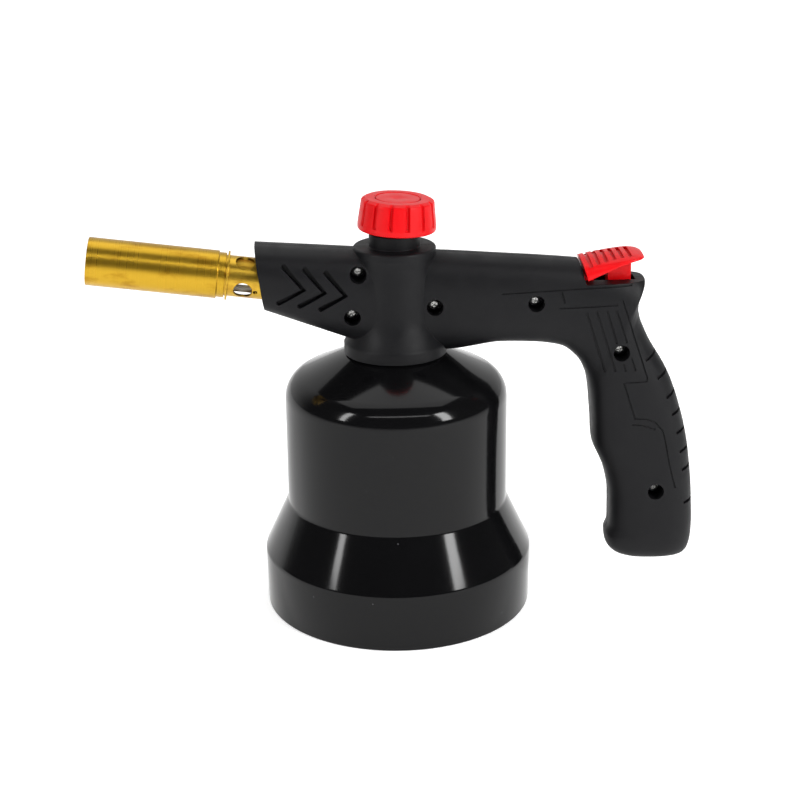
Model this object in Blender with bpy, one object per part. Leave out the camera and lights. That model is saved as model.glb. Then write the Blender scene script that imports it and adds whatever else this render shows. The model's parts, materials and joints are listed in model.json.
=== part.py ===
"""Hand torch for a pierceable gas cartridge: steel bell, plastic housing, brass burner, piezo ignition.

The origin is on the bell's axis at floor level. The burner points to -X, the handle is at +X, and the
half shell with the screw heads faces -Y. Lengths are written in millimetres times MM.
"""

import math

import bmesh
import bpy
from mathutils import Matrix, Vector

MM = 0.001
GAP = 0.3 * MM

# Driving dimensions of the bell, which holds a cartridge of 90 mm diameter.
SHEET = 0.9 * MM
FOOT_RADIUS = 61.3 * MM
FOOT_HEIGHT = 25.5 * MM
FLARE_TOP = 50.0 * MM
BELL_RADIUS = 50.45 * MM
SHOULDER_BASE = 99.3 * MM
SHOULDER_ROUND = 12.0 * MM
DOME_SLOPE = math.radians(24.5)
DOME_FLAT_RADIUS = 22.0 * MM
BELL_HOLE = 8.3 * MM
HEM = 2.0 * MM

# Screw-in base.
THREAD_RADIUS = 56.4 * MM
THREAD_RING_OUTER = 59.9 * MM
BASE_HEIGHT = 14.0 * MM
CARTRIDGE_RADIUS = 45.5 * MM
POCKET_NEAR = 7 * MM
POCKET_FAR = 38 * MM
POCKET_HALF = 22 * MM
POCKET_DEPTH = 9 * MM

# Housing.
WALL = 2.2 * MM
PARTING = 0.15 * MM
COLLAR_RADIUS = 23.2 * MM
COLLAR_BOTTOM = 120.5 * MM
COLUMN_RADIUS = 17.7 * MM
COLUMN_TOP_RADIUS = 18.4 * MM
COLUMN_TOP = 169.1 * MM
BOSS_RADIUS = 11.3 * MM
BOSS_TOP = 175.2 * MM
SECTION_POWER = 2.8

# Burner axis: it crosses the bell's axis at BURNER_Z and rises towards the mouth. The air holes' turns
# are measured from the -Y side upwards.
BURNER_Z = 147.3 * MM
BURNER_TILT = math.radians(7.7)
MOUTH = 136.3 * MM
SLEEVE_REAR = 79.0 * MM
SLEEVE_RADIUS = 10.65 * MM
SLEEVE_BORE = 9.75 * MM
TUBE_RADIUS = 9.1 * MM
TUBE_BORE = 7.9 * MM
TUBE_REAR = 28.8 * MM
AIR_HOLE_RADIUS = 4.2 * MM
AIR_HOLE_PLACE = 67.5 * MM
AIR_HOLE_TURNS = [math.radians(a) for a in (-28, 62, 242)]
PIN_HOLE_PLACE = 62 * MM
ELECTRODE_DROP = 5.3 * MM
ELECTRODE_REAR = 27.6 * MM
FLANGE_BACK = 30.0 * MM
FLANGE_FRONT = 35.5 * MM
HOLDER_PLACE = 112.0 * MM

# Valve: its shank goes down through the bell; the spindle leans back a little, towards the handle.
SHANK_END = 106.5 * MM
NUT_HEIGHT = 6 * MM
PORT_END = 17.2 * MM
SPINDLE_Z = 154.6 * MM
SPINDLE_TILT = math.radians(2.9)
SPINDLE_RADIUS = 3.0 * MM
KNOB_RADIUS = 17.4 * MM
KNOB_TOP_RADIUS = 16.1 * MM
KNOB_BOTTOM = 22.0 * MM
KNOB_HEIGHT = 14.0 * MM
KNOB_TOP = KNOB_BOTTOM + KNOB_HEIGHT
KNOB_FLUTES = 14
FLUTE_DEPTH = 1.1 * MM
CAP_RECESS = 1.4 * MM
CAP_RADIUS = 9.7 * MM
GROOVE_LOW = 2.2 * MM
GROOVE_HIGH = 4.3 * MM

# Ignition button.
LUG_PIVOT = (86.5 * MM, 148.4 * MM)
PIN_RADIUS = 1.0 * MM
SLOT = (83.2 * MM, 107.5 * MM)
SLOT_HALF = 4.1 * MM
STEM = (95.0 * MM, 105.4 * MM)
NOSE_Z = 146.5 * MM
PLUNGER_X = 100.0 * MM
PLUNGER_TOP = NOSE_Z - 1.5 * MM - GAP
PLUNGER_HEAD = 3 * MM
PLUNGER_RADIUS = 2.9 * MM
PLUNGER_LOW = 133.5 * MM
SPRING_FOOT = 125.9 * MM
SPRING_RADIUS = 2.3 * MM
SPRING_WIRE = 0.3 * MM
SPRING_TURNS = 5
MODULE_LOW = (95.2 * MM, -4.6 * MM, 124.5 * MM)
MODULE_HIGH = (104.8 * MM, 4.6 * MM, 137.5 * MM)
IGNITER_RIBS = [(92.8 * MM, 94.9 * MM), (105.1 * MM, 107.2 * MM)]

# Thumb pad: place along the handle, ridge height, edge height, half width, backward lean of the section.
PAD = [
    (82.5, 161.9, 153.8, 12.7, 0.30),
    (88.0, 162.9, 155.8, 12.8, 0.20),
    (94.0, 163.6, 158.0, 12.7, 0.10),
    (100.0, 164.0, 160.3, 12.4, 0.0),
    (105.0, 164.2, 161.7, 11.6, 0.0),
    (108.6, 163.9, 162.2, 9.8, 0.0),
    (110.4, 163.4, 162.3, 7.0, 0.0),
]

# Housing screws: place in the side view, and the height of the head's seat above the parting plane.
SCREW_PLACES = [
    (-16.7 * MM, 159.6 * MM),
    (-19.6 * MM, 140.4 * MM),
    (17.0 * MM, 143.6 * MM),
    (62.0 * MM, 144.1 * MM),
    (100.6 * MM, 120.2 * MM),
    (118.5 * MM, 52.4 * MM),
]
SCREW_SEAT = 5.5 * MM
SCREW_HEAD_RADIUS = 2.6 * MM
SCREW_RADIUS = 1.3 * MM
SCREW_END = 9.0 * MM
PILLAR_RADIUS = 3.9 * MM

# Ladders of cross-sections in the side view: top or back point, underside or front point, half width.
FRONT_SHELL = [
    ((-61.7, 171.4), (-58.0, 142.2), 14.4),
    ((-45.0, 170.2), (-42.5, 136.3), 14.9),
    ((-27.0, 168.9), (-25.5, 129.8), 15.2),
    ((-12.0, 167.8), (-12.0, 124.6), 15.2),
    ((2.0, 166.8), (2.0, 121.0), 15.0),
]
HANDLE = [
    ((-2.0, 167.0), (-2.0, 121.0), 13.2),
    ((19.0, 166.0), (23.0, 121.2), 13.2),
    ((47.0, 163.8), (47.0, 124.2), 13.2),
    ((62.0, 162.6), (62.0, 123.7), 13.3),
    ((76.0, 161.3), (74.5, 121.6), 13.4),
    ((88.0, 160.0), (80.2, 117.6), 13.6),
    ((98.0, 158.6), (83.2, 114.2), 13.8),
    ((111.9, 151.6), (86.8, 106.4), 14.1),
    ((110.6, 147.5), (87.6, 102.6), 14.2),
    ((109.4, 143.0), (88.2, 98.8), 14.3),
    ((109.2, 139.0), (88.6, 95.2), 14.3),
    ((110.0, 134.5), (88.9, 91.4), 14.4),
    ((114.3, 124.2), (89.5, 85.0), 14.5),
    ((122.9, 109.6), (89.9, 77.6), 14.5),
    ((127.0, 100.2), (90.6, 73.2), 14.5),
    ((132.6, 81.6), (94.1, 65.2), 14.5),
    ((134.5, 72.2), (95.9, 60.8), 14.5),
    ((137.1, 51.0), (98.6, 47.6), 14.5),
    ((138.1, 33.4), (98.9, 33.2), 14.5),
    ((137.9, 26.8), (97.4, 28.0), 14.3),
    ((137.0, 21.4), (98.0, 23.2), 13.4),
    ((135.0, 18.2), (100.6, 19.6), 11.6),
    ((132.0, 17.0), (104.4, 17.7), 9.4),
]
SECTION_POINTS = 16
CRADLE_X = -57 * MM

# Arrow marks: the first tip, its arms' ends from it, the stroke's width and the step to the next one.
CHEVRON_TIP = (-39.2 * MM, 153.8 * MM)
CHEVRON_ARMS = [(-8.3 * MM, 10.3 * MM), (-11.0 * MM, -5.8 * MM)]
CHEVRON_STROKE = 2.7 * MM
CHEVRON_STEP = (9.1 * MM, -1.55 * MM)
CHEVRON_FLOOR = 11.4 * MM

# Route of the ignition lead through the housing, from the igniter to the electrode's rear end.
LEAD_ROUTE = [
    (94.6, 0.0, 126.6),
    (90.0, 1.0, 127.6),
    (80.0, 4.0, 130.0),
    (66.0, 6.0, 131.0),
    (48.0, 6.5, 131.0),
    (32.0, 6.5, 131.5),
    (20.0, 7.2, 133.0),
    (12.5, 8.8, 135.0),
    (6.5, 11.6, 137.6),
    (0.0, 12.7, 140.6),
    (-7.0, 11.9, 144.4),
    (-14.0, 9.6, 147.6),
    (-19.0, 6.8, 147.3),
    (-22.6, 3.6, 146.0),
]
LEAD_RADIUS = 0.8 * MM


# ---------------------------------------------------------------- tools


def clear_scene():
    for thing in list(bpy.data.objects):
        bpy.data.objects.remove(thing, do_unlink=True)


def material(name, colour, roughness, metallic=0.0):
    made = bpy.data.materials.new(name)
    made.use_nodes = True
    shader = made.node_tree.nodes["Principled BSDF"]
    shader.inputs["Base Color"].default_value = (*colour, 1.0)
    shader.inputs["Roughness"].default_value = roughness
    shader.inputs["Metallic"].default_value = metallic
    return made


def from_bmesh(name, bm):
    bmesh.ops.recalc_face_normals(bm, faces=bm.faces)
    mesh = bpy.data.meshes.new(name)
    bm.to_mesh(mesh)
    bm.free()
    thing = bpy.data.objects.new(name, mesh)
    bpy.context.scene.collection.objects.link(thing)
    return thing


def finish(thing, surface, crease=35):
    """Give an object its material and smooth its round faces."""
    mesh = thing.data
    mesh.materials.clear()
    mesh.materials.append(surface)
    mesh.shade_smooth()
    mesh.set_sharp_from_angle(angle=math.radians(crease))
    return thing


def place(thing, frame):
    """Put an object in one of the torch's tilted frames."""
    thing.matrix_world = frame
    bpy.context.view_layer.update()
    return thing


def turned(name, profile, segments=32):
    """Body turned about Z from (radius, height) points; a profile off the axis closes on itself."""
    bm = bmesh.new()
    rings = []
    for radius, height in profile:
        if radius == 0:
            rings.append([bm.verts.new((0, 0, height))])
            continue
        angles = [2 * math.pi * k / segments for k in range(segments)]
        rings.append([bm.verts.new((radius * math.cos(a), radius * math.sin(a), height)) for a in angles])
    pairs = list(zip(rings, rings[1:]))
    if profile[0][0] > 0:
        pairs.append((rings[-1], rings[0]))
    for lower, upper in pairs:
        for k in range(segments):
            after = (k + 1) % segments
            corners = [
                lower[k % len(lower)],
                lower[after % len(lower)],
                upper[after % len(upper)],
                upper[k % len(upper)],
            ]
            corners = list(dict.fromkeys(corners))
            if len(corners) > 2:
                bm.faces.new(corners)
    return from_bmesh(name, bm)


def rod(name, radius, low, high, segments=16):
    return turned(name, [(0, low), (radius, low), (radius, high), (0, high)], segments)


def pipe(name, outer, bore, low, high, segments=32):
    return turned(name, [(bore, low), (outer, low), (outer, high), (bore, high)], segments)


def lofted(name, rings):
    """Skin of triangles through equal rings of points, with a flat face on each end."""
    bm = bmesh.new()
    loops = [[bm.verts.new(point) for point in ring] for ring in rings]
    count = len(rings[0])
    for loop, following in zip(loops, loops[1:]):
        for k in range(count):
            after = (k + 1) % count
            bm.faces.new((loop[k], loop[after], following[after], following[k]))
    bm.faces.new(loops[0])
    bm.faces.new(list(reversed(loops[-1])))
    bmesh.ops.triangulate(bm, faces=bm.faces)
    return from_bmesh(name, bm)


def slab(name, outline, low, high):
    """Outline in the side view (x, z), extruded from y = low to y = high."""
    return lofted(name, [[(x, y, z) for x, z in outline] for y in (low, high)])


def box(name, low, high):
    corners = [(low[0], low[2]), (high[0], low[2]), (high[0], high[2]), (low[0], high[2])]
    return slab(name, corners, low[1], high[1])


def cross_rod(name, radius, x, z, low, high, segments=14):
    """Cylinder along Y through (x, z) of the side view."""
    turn = Matrix.Translation((x, 0, z)) @ Matrix.Rotation(math.radians(-90), 4, "X")
    return place(rod(name, radius, low, high, segments), turn)


def combine(thing, others, operation, solver="EXACT"):
    """Join, cut or intersect an object with others, which are used up.

    EXACT leaves open edges where the housing's curved skins meet its ribs, so the housing uses MANIFOLD.
    """
    for other in others:
        step = thing.modifiers.new(other.name, "BOOLEAN")
        step.operation = operation
        step.solver = solver
        step.object = other
        bpy.context.view_layer.update()
        result = thing.evaluated_get(bpy.context.evaluated_depsgraph_get())
        mesh = bpy.data.meshes.new_from_object(result)
        thing.modifiers.clear()
        thing.data = mesh
        bpy.data.objects.remove(other, do_unlink=True)
    return thing


def cut(thing, *others, solver="EXACT"):
    return combine(thing, others, "DIFFERENCE", solver)


def join(thing, *others, solver="EXACT"):
    return combine(thing, others, "UNION", solver)


def cut_shell(thing, *others):
    return cut(thing, *others, solver="MANIFOLD")


def join_shell(thing, *others):
    return join(thing, *others, solver="MANIFOLD")


def along(axis_point, direction):
    """Frame with its origin at a point and its Z along a direction of the XZ plane."""
    turn = Vector(direction).to_track_quat("Z", "Y").to_matrix().to_4x4()
    return Matrix.Translation(axis_point) @ turn


BURNER = along(
    (0, 0, BURNER_Z),
    (-math.cos(BURNER_TILT), 0, math.sin(BURNER_TILT)),
)
SPINDLE = Matrix.Translation((0, 0, SPINDLE_Z)) @ Matrix.Rotation(SPINDLE_TILT, 4, "Y")


def burner_point(reach, drop=0.0):
    """Point at a reach along the burner axis and a drop below it."""
    x = -reach * math.cos(BURNER_TILT) - drop * math.sin(BURNER_TILT)
    z = BURNER_Z + reach * math.sin(BURNER_TILT) - drop * math.cos(BURNER_TILT)
    return Vector((x, 0, z))


# ---------------------------------------------------------------- bell and base


def dome_height(radius):
    """Height of the bell's outer cone at a radius."""
    edge_radius = BELL_RADIUS - SHOULDER_ROUND * (1 - math.sin(DOME_SLOPE))
    edge_height = SHOULDER_BASE + SHOULDER_ROUND * math.cos(DOME_SLOPE)
    return edge_height + (edge_radius - radius) * math.tan(DOME_SLOPE)


DOME_TOP = dome_height(DOME_FLAT_RADIUS)
FLANGE_LOW = DOME_TOP + GAP


def bell_wall(offset):
    """Points of the bell's wall from the hem to the hole, moved inwards by an offset."""
    shoulder_centre = BELL_RADIUS - SHOULDER_ROUND
    steps = 4
    arc = []
    for k in range(steps + 1):
        turn = (math.pi / 2 - DOME_SLOPE) * k / steps
        reach = SHOULDER_ROUND - offset
        arc.append((shoulder_centre + reach * math.cos(turn), SHOULDER_BASE + reach * math.sin(turn)))
    return [
        (FOOT_RADIUS - offset, HEM * 0.6),
        (FOOT_RADIUS + 0.3 * MM - offset, FOOT_HEIGHT - 1 * MM),
        (FOOT_RADIUS - 0.5 * MM - offset, FOOT_HEIGHT + 1.2 * MM),
        (BELL_RADIUS + 1.0 * MM - offset, FLARE_TOP - 1.0 * MM),
        (BELL_RADIUS - 0.2 * MM - offset, FLARE_TOP + 4.0 * MM),
        *arc,
        (DOME_FLAT_RADIUS, DOME_TOP - offset),
        (BELL_HOLE, DOME_TOP - offset),
    ]


def make_bell(surface):
    outside = [(FOOT_RADIUS, 0), *bell_wall(0)]
    inside = [(FOOT_RADIUS - HEM, 0), (FOOT_RADIUS - HEM, HEM * 0.6), *bell_wall(SHEET)]
    bell = turned("cartridge_bell", outside + list(reversed(inside)), 44)
    finish(bell, surface, 30)


def make_base(nylon, steel):
    ring = pipe(
        "thread_ring", THREAD_RING_OUTER, THREAD_RADIUS + GAP, HEM * 0.6 + GAP, BASE_HEIGHT + 3 * MM, 48
    )
    finish(ring, nylon)
    floor = BASE_HEIGHT - 3 * MM
    cap = turned(
        "base_cap",
        [
            (0, 0),
            (THREAD_RADIUS - 1 * MM, 0),
            (THREAD_RADIUS, 1 * MM),
            (THREAD_RADIUS, BASE_HEIGHT),
            (CARTRIDGE_RADIUS + 5 * MM, BASE_HEIGHT),
            (CARTRIDGE_RADIUS + 5 * MM, floor),
            (0, floor),
        ],
        48,
    )
    for side in (-1, 1):
        near, far = sorted((side * POCKET_NEAR, side * POCKET_FAR))
        pocket = box("pocket", (near, -POCKET_HALF, -1 * MM), (far, POCKET_HALF, POCKET_DEPTH))
        cut(cap, pocket)
    finish(cap, nylon)
    plate = turned(
        "pressure_plate",
        [
            (0, floor + GAP),
            (CARTRIDGE_RADIUS + 3 * MM, floor + GAP),
            (CARTRIDGE_RADIUS + 3 * MM, floor + 7 * MM),
            (CARTRIDGE_RADIUS + 0.5 * MM, floor + 7 * MM),
            (CARTRIDGE_RADIUS + 0.5 * MM, floor + 2.2 * MM),
            (0, floor + 2.2 * MM),
        ],
        40,
    )
    finish(plate, steel)


# ---------------------------------------------------------------- valve


def make_valve(brass, steel, rubber, sinter):
    body = turned(
        "valve_body",
        [
            (0, SHANK_END),
            (7.0 * MM, SHANK_END),
            (7.9 * MM, SHANK_END + 4.5 * MM),
            (7.9 * MM, FLANGE_LOW),
            (14.0 * MM, FLANGE_LOW),
            (14.0 * MM, FLANGE_LOW + 4.5 * MM),
            (10.0 * MM, FLANGE_LOW + 4.5 * MM),
            (10.0 * MM, 151 * MM),
            (8.0 * MM, 153 * MM),
            (0, 153 * MM),
        ],
    )
    barrel = place(rod("barrel", 8.3 * MM, -6 * MM, 6 * MM, 24), SPINDLE)
    port = place(rod("port", 5.5 * MM, 0, PORT_END, 20), BURNER)
    join(body, barrel, port)
    inlet = turned(
        "inlet",
        [
            (0, SHANK_END - 1 * MM),
            (3.0 * MM, SHANK_END - 1 * MM),
            (3.0 * MM, SHANK_END + 8.5 * MM),
            (1.2 * MM, SHANK_END + 8.5 * MM),
            (1.2 * MM, 143.5 * MM),
            (0, 143.5 * MM),
        ],
        12,
    )
    seat = place(rod("seat", 1.3 * MM, -12.5 * MM, -9 * MM), SPINDLE)
    chamber = place(rod("chamber", SPINDLE_RADIUS + 0.3 * MM, -9.9 * MM, 8 * MM), SPINDLE)
    outlet = turned(
        "outlet",
        [
            (0, 1.5 * MM),
            (1 * MM, 1.5 * MM),
            (1 * MM, 8.7 * MM),
            (2.4 * MM, 8.7 * MM),
            (2.4 * MM, 19 * MM),
            (0, 19 * MM),
        ],
        12,
    )
    cut(body, inlet, seat, chamber, place(outlet, BURNER))
    finish(body, brass)

    nut = turned("bell_nut", hexagon_profile(), 6)
    bore = rod("bore", 8.2 * MM, DOME_TOP - 20 * MM, DOME_TOP + 5 * MM, 24)
    finish(cut(nut, bore), steel)

    needle = turned(
        "piercing_needle",
        [
            (0, 100.5 * MM),
            (1.1 * MM, 103.5 * MM),
            (1.1 * MM, SHANK_END + GAP),
            (2.7 * MM, SHANK_END + GAP),
            (2.7 * MM, 109.6 * MM),
            (0, 109.6 * MM),
        ],
        12,
    )
    finish(needle, steel)
    seal = pipe("cartridge_seal", 6.2 * MM, 3.3 * MM, SHANK_END - 2.1 * MM, SHANK_END - GAP, 24)
    finish(seal, rubber)
    finish(rod("gas_filter", 2.7 * MM, 109.9 * MM, 114.7 * MM, 12), sinter)

    gland = turned("valve_gland", [(0, 6.3 * MM), (8 * MM, 6.3 * MM), (8 * MM, 10 * MM), (0, 10 * MM)], 6)
    bore = rod("bore", SPINDLE_RADIUS + 0.3 * MM, 5 * MM, 12 * MM)
    finish(place(cut(gland, bore), SPINDLE), brass)


def hexagon_profile():
    top = DOME_TOP - SHEET - GAP
    return [(0, top - NUT_HEIGHT), (13 * MM, top - NUT_HEIGHT), (13 * MM, top), (0, top)]


# ---------------------------------------------------------------- spindle and knob


def make_spindle(brass, rubber, steel):
    radius = SPINDLE_RADIUS
    spindle = turned(
        "valve_spindle",
        [
            (0, -11.2 * MM),
            (2.0 * MM, -8.2 * MM),
            (2.0 * MM, -4 * MM),
            (radius, -3 * MM),
            (radius, GROOVE_LOW),
            (2.0 * MM, GROOVE_LOW),
            (2.0 * MM, GROOVE_HIGH),
            (radius, GROOVE_HIGH),
            (radius, KNOB_BOTTOM - 1 * MM),
            (2.6 * MM, KNOB_BOTTOM),
            (2.6 * MM, 30.7 * MM),
            (1.5 * MM, 30.7 * MM),
            (1.5 * MM, 24.4 * MM),
            (0, 24.4 * MM),
        ],
        18,
    )
    finish(place(spindle, SPINDLE), brass)
    ring = turned(
        "spindle_o_ring",
        [
            (2.15 * MM, GROOVE_LOW + 0.8 * MM),
            (2.4 * MM, GROOVE_LOW + 0.3 * MM),
            (3.0 * MM, GROOVE_LOW + 0.3 * MM),
            (3.15 * MM, GROOVE_LOW + 0.8 * MM),
            (3.15 * MM, GROOVE_HIGH - 0.8 * MM),
            (3.0 * MM, GROOVE_HIGH - 0.3 * MM),
            (2.4 * MM, GROOVE_HIGH - 0.3 * MM),
            (2.15 * MM, GROOVE_HIGH - 0.8 * MM),
        ],
        18,
    )
    finish(place(ring, SPINDLE), rubber)
    screw = turned(
        "knob_screw",
        [
            (0, 24.8 * MM),
            (1.15 * MM, 24.8 * MM),
            (1.15 * MM, 32.8 * MM),
            (3.1 * MM, 32.8 * MM),
            (3.1 * MM, 34.3 * MM),
            (0, 34.3 * MM),
        ],
        12,
    )
    finish(place(screw, SPINDLE), steel)


def flute_depth(turn):
    """Depth of the knob's grooves round its side: narrow valleys between wide lands."""
    phase = math.cos(KNOB_FLUTES * turn)
    return FLUTE_DEPTH * max(0.0, phase) ** 3


def make_knob(red):
    per_flute = 4
    count = KNOB_FLUTES * per_flute
    levels = [
        (KNOB_RADIUS, KNOB_BOTTOM, 0.0),
        (KNOB_RADIUS - 0.2 * MM, KNOB_BOTTOM + 2.2 * MM, 0.0),
        (KNOB_RADIUS - 0.3 * MM, KNOB_BOTTOM + 2.8 * MM, 1.0),
        (KNOB_TOP_RADIUS, KNOB_TOP - 1.4 * MM, 1.0),
        (KNOB_TOP_RADIUS - 1.6 * MM, KNOB_TOP, 0.0),
        (CAP_RADIUS + 0.3 * MM, KNOB_TOP, 0.0),
        (CAP_RADIUS + 0.3 * MM, KNOB_TOP - CAP_RECESS, 0.0),
        (3.4 * MM, KNOB_TOP - CAP_RECESS, 0.0),
        (3.4 * MM, 32.5 * MM, 0.0),
        (1.5 * MM, 32.5 * MM, 0.0),
        (1.5 * MM, 31.0 * MM, 0.0),
        (2.9 * MM, 31.0 * MM, 0.0),
        (2.9 * MM, KNOB_BOTTOM + 1 * MM, 0.0),
        (5.6 * MM, KNOB_BOTTOM + 1 * MM, 0.0),
        (5.6 * MM, KNOB_TOP - 4.2 * MM, 0.0),
        (KNOB_TOP_RADIUS - 2.6 * MM, KNOB_TOP - 4.2 * MM, 0.0),
        (KNOB_RADIUS - 3.0 * MM, KNOB_BOTTOM, 0.0),
    ]
    bm = bmesh.new()
    rings = []
    for radius, height, depth in levels:
        ring = []
        for k in range(count):
            turn = 2 * math.pi * k / count
            reach = radius - depth * flute_depth(turn)
            ring.append(bm.verts.new((reach * math.cos(turn), reach * math.sin(turn), height)))
        rings.append(ring)
    for ring, following in zip(rings, rings[1:] + rings[:1]):
        for k in range(count):
            after = (k + 1) % count
            bm.faces.new((ring[k], ring[after], following[after], following[k]))
    knob = from_bmesh("control_knob", bm)
    finish(place(knob, SPINDLE), red)
    low = KNOB_TOP - CAP_RECESS + GAP
    cap = turned(
        "knob_cap",
        [
            (0, low),
            (CAP_RADIUS, low),
            (CAP_RADIUS, KNOB_TOP - 0.1 * MM),
            (6 * MM, KNOB_TOP - 0.3 * MM),
            (0, KNOB_TOP - 0.6 * MM),
        ],
        32,
    )
    finish(place(cap, SPINDLE), red)


# ---------------------------------------------------------------- burner


def offset_rod(name, radius, low, high, segments=16):
    """Rod parallel to the burner axis, at the electrode's place below it."""
    base = burner_point(0, ELECTRODE_DROP)
    frame = BURNER.copy()
    frame.translation = base
    return place(rod(name, radius, low, high, segments), frame)


def make_burner(brass, bronze, steel, ceramic):
    tube = place(pipe("mixer_tube", TUBE_RADIUS, TUBE_BORE, TUBE_REAR, 88 * MM, 28), BURNER)
    for turn in AIR_HOLE_TURNS:
        aim = Matrix.Rotation(turn, 4, "Z") @ Matrix.Rotation(math.radians(90), 4, "Y")
        for radius, reach in ((AIR_HOLE_RADIUS, AIR_HOLE_PLACE), (1.0 * MM, PIN_HOLE_PLACE)):
            hole = rod("hole", radius, 2 * MM, 14 * MM, 12)
            cut(tube, place(hole, BURNER @ Matrix.Translation((0, 0, reach)) @ aim))
    finish(tube, bronze)

    sleeve = turned(
        "burner_sleeve",
        [
            (SLEEVE_BORE, MOUTH),
            (SLEEVE_RADIUS, MOUTH),
            (SLEEVE_RADIUS, SLEEVE_REAR + 0.4 * MM),
            (SLEEVE_RADIUS - 0.4 * MM, SLEEVE_REAR),
            (SLEEVE_RADIUS - 0.7 * MM, SLEEVE_REAR),
            (SLEEVE_RADIUS - 0.7 * MM, SLEEVE_REAR - 3.2 * MM),
            (TUBE_RADIUS + GAP, SLEEVE_REAR - 3.2 * MM),
            (TUBE_RADIUS + GAP, SLEEVE_REAR + 1 * MM),
            (SLEEVE_BORE, SLEEVE_REAR + 1.5 * MM),
        ],
        36,
    )
    finish(place(sleeve, BURNER), brass)
    ring = pipe("retaining_ring", SLEEVE_RADIUS + 0.3 * MM, TUBE_RADIUS + GAP, 74.3 * MM, 75.2 * MM)
    finish(place(ring, BURNER), bronze)

    holder = turned(
        "jet_holder",
        [
            (1 * MM, 9 * MM),
            (2.1 * MM, 9 * MM),
            (2.1 * MM, PORT_END + GAP),
            (5 * MM, PORT_END + GAP),
            (5 * MM, 21.5 * MM),
            (3.2 * MM, 21.5 * MM),
            (3.2 * MM, FLANGE_BACK),
            (TUBE_BORE - GAP, FLANGE_BACK),
            (TUBE_BORE - GAP, FLANGE_FRONT),
            (2.4 * MM, FLANGE_FRONT),
            (2.4 * MM, 31.7 * MM),
            (1 * MM, 31.7 * MM),
        ],
        20,
    )
    holder = place(holder, BURNER)
    cut(holder, offset_rod("pass", 1.9 * MM, 26 * MM, 40 * MM))
    finish(holder, brass)
    jet = turned(
        "gas_jet",
        [
            (0.4 * MM, 32 * MM),
            (2.1 * MM, 32 * MM),
            (2.1 * MM, FLANGE_FRONT + 1 * MM),
            (2.1 * MM, 39 * MM),
            (1 * MM, 41.5 * MM),
            (0.4 * MM, 41.5 * MM),
        ],
        12,
    )
    finish(place(jet, BURNER), brass)

    flame = pipe("flame_holder", SLEEVE_BORE - GAP, 3.0 * MM, HOLDER_PLACE, HOLDER_PLACE + 5 * MM)
    flame = place(flame, BURNER)
    for k in range(8):
        turn = Matrix.Rotation(math.radians(22.5 + 45 * k), 4, "Z")
        notch = rod("notch", 1.7 * MM, HOLDER_PLACE - 2 * MM, HOLDER_PLACE + 9 * MM, 10)
        cut(flame, place(notch, BURNER @ turn @ Matrix.Translation((SLEEVE_BORE - GAP, 0, 0))))
    cut(flame, offset_rod("pass", 1.2 * MM, HOLDER_PLACE - 2 * MM, HOLDER_PLACE + 9 * MM, 10))
    finish(flame, bronze)

    insulator = offset_rod("electrode_insulator", 1.6 * MM, FLANGE_BACK - 0.5 * MM, 105 * MM)
    cut(insulator, offset_rod("bore", 0.85 * MM, 20 * MM, 110 * MM, 12))
    finish(insulator, ceramic)
    finish(offset_rod("electrode", 0.5 * MM, ELECTRODE_REAR, 124 * MM, 10), steel)


# ---------------------------------------------------------------- housing

def cross_section(far, near, half_width, inset):
    """Superellipse whose long axis runs from the near point to the far point of the side view."""
    far = Vector((far[0], 0, far[1])) * MM
    near = Vector((near[0], 0, near[1])) * MM
    middle = (far + near) / 2
    reach = (far - near) / 2
    reach *= 1 - inset / reach.length
    wide = half_width * MM - inset
    ring = []
    for k in range(SECTION_POINTS):
        turn = 2 * math.pi * k / SECTION_POINTS
        across = math.copysign(abs(math.cos(turn)) ** (2 / SECTION_POWER), math.cos(turn))
        along_reach = math.copysign(abs(math.sin(turn)) ** (2 / SECTION_POWER), math.sin(turn))
        ring.append(middle + along_reach * reach + Vector((0, across * wide, 0)))
    return ring


def shell_body(name, ladder, inset, first=0.0, last=0.0):
    """Loft of a ladder; a hollow's ends are moved along the ladder by first and last."""
    rings = [cross_section(*rung, inset) for rung in ladder]
    start = (rings[0][0] - rings[1][0]).normalized()
    end = (rings[-1][0] - rings[-2][0]).normalized()
    rings[0] = [point + start * first for point in rings[0]]
    rings[-1] = [point + end * last for point in rings[-1]]
    return lofted(name, rings)


def column_profile(inset):
    """Side of the column, from the collar's rim to its top disc."""
    side = [(COLLAR_RADIUS - inset, COLLAR_BOTTOM), (COLLAR_RADIUS - inset, COLLAR_BOTTOM + 4.5 * MM)]
    for k in range(1, 6):
        fall = k / 5
        radius = COLUMN_RADIUS + (COLLAR_RADIUS - COLUMN_RADIUS) * (1 - fall) ** 2
        side.append((radius - inset, COLLAR_BOTTOM + 4.5 * MM + fall * 15 * MM))
    side.append((COLUMN_RADIUS - inset, 152 * MM))
    return side


def column_outside():
    top = [
        (COLUMN_TOP_RADIUS, COLUMN_TOP - 1.2 * MM),
        (COLUMN_TOP_RADIUS - 0.4 * MM, COLUMN_TOP - 0.3 * MM),
        (COLUMN_TOP_RADIUS - 1.4 * MM, COLUMN_TOP),
        (BOSS_RADIUS, COLUMN_TOP),
        (BOSS_RADIUS, BOSS_TOP),
        (0, BOSS_TOP),
    ]
    return turned("column", [(0, COLLAR_BOTTOM), *column_profile(0), *top], 32)


def column_hollow():
    base = column_profile(WALL)
    base[0] = (base[0][0], COLLAR_BOTTOM - 2 * MM)
    top = [(COLUMN_RADIUS - WALL, COLUMN_TOP - WALL), (0, COLUMN_TOP - WALL)]
    return turned("hollow", [(0, COLLAR_BOTTOM - 2 * MM), *base, *top], 32)


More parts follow.
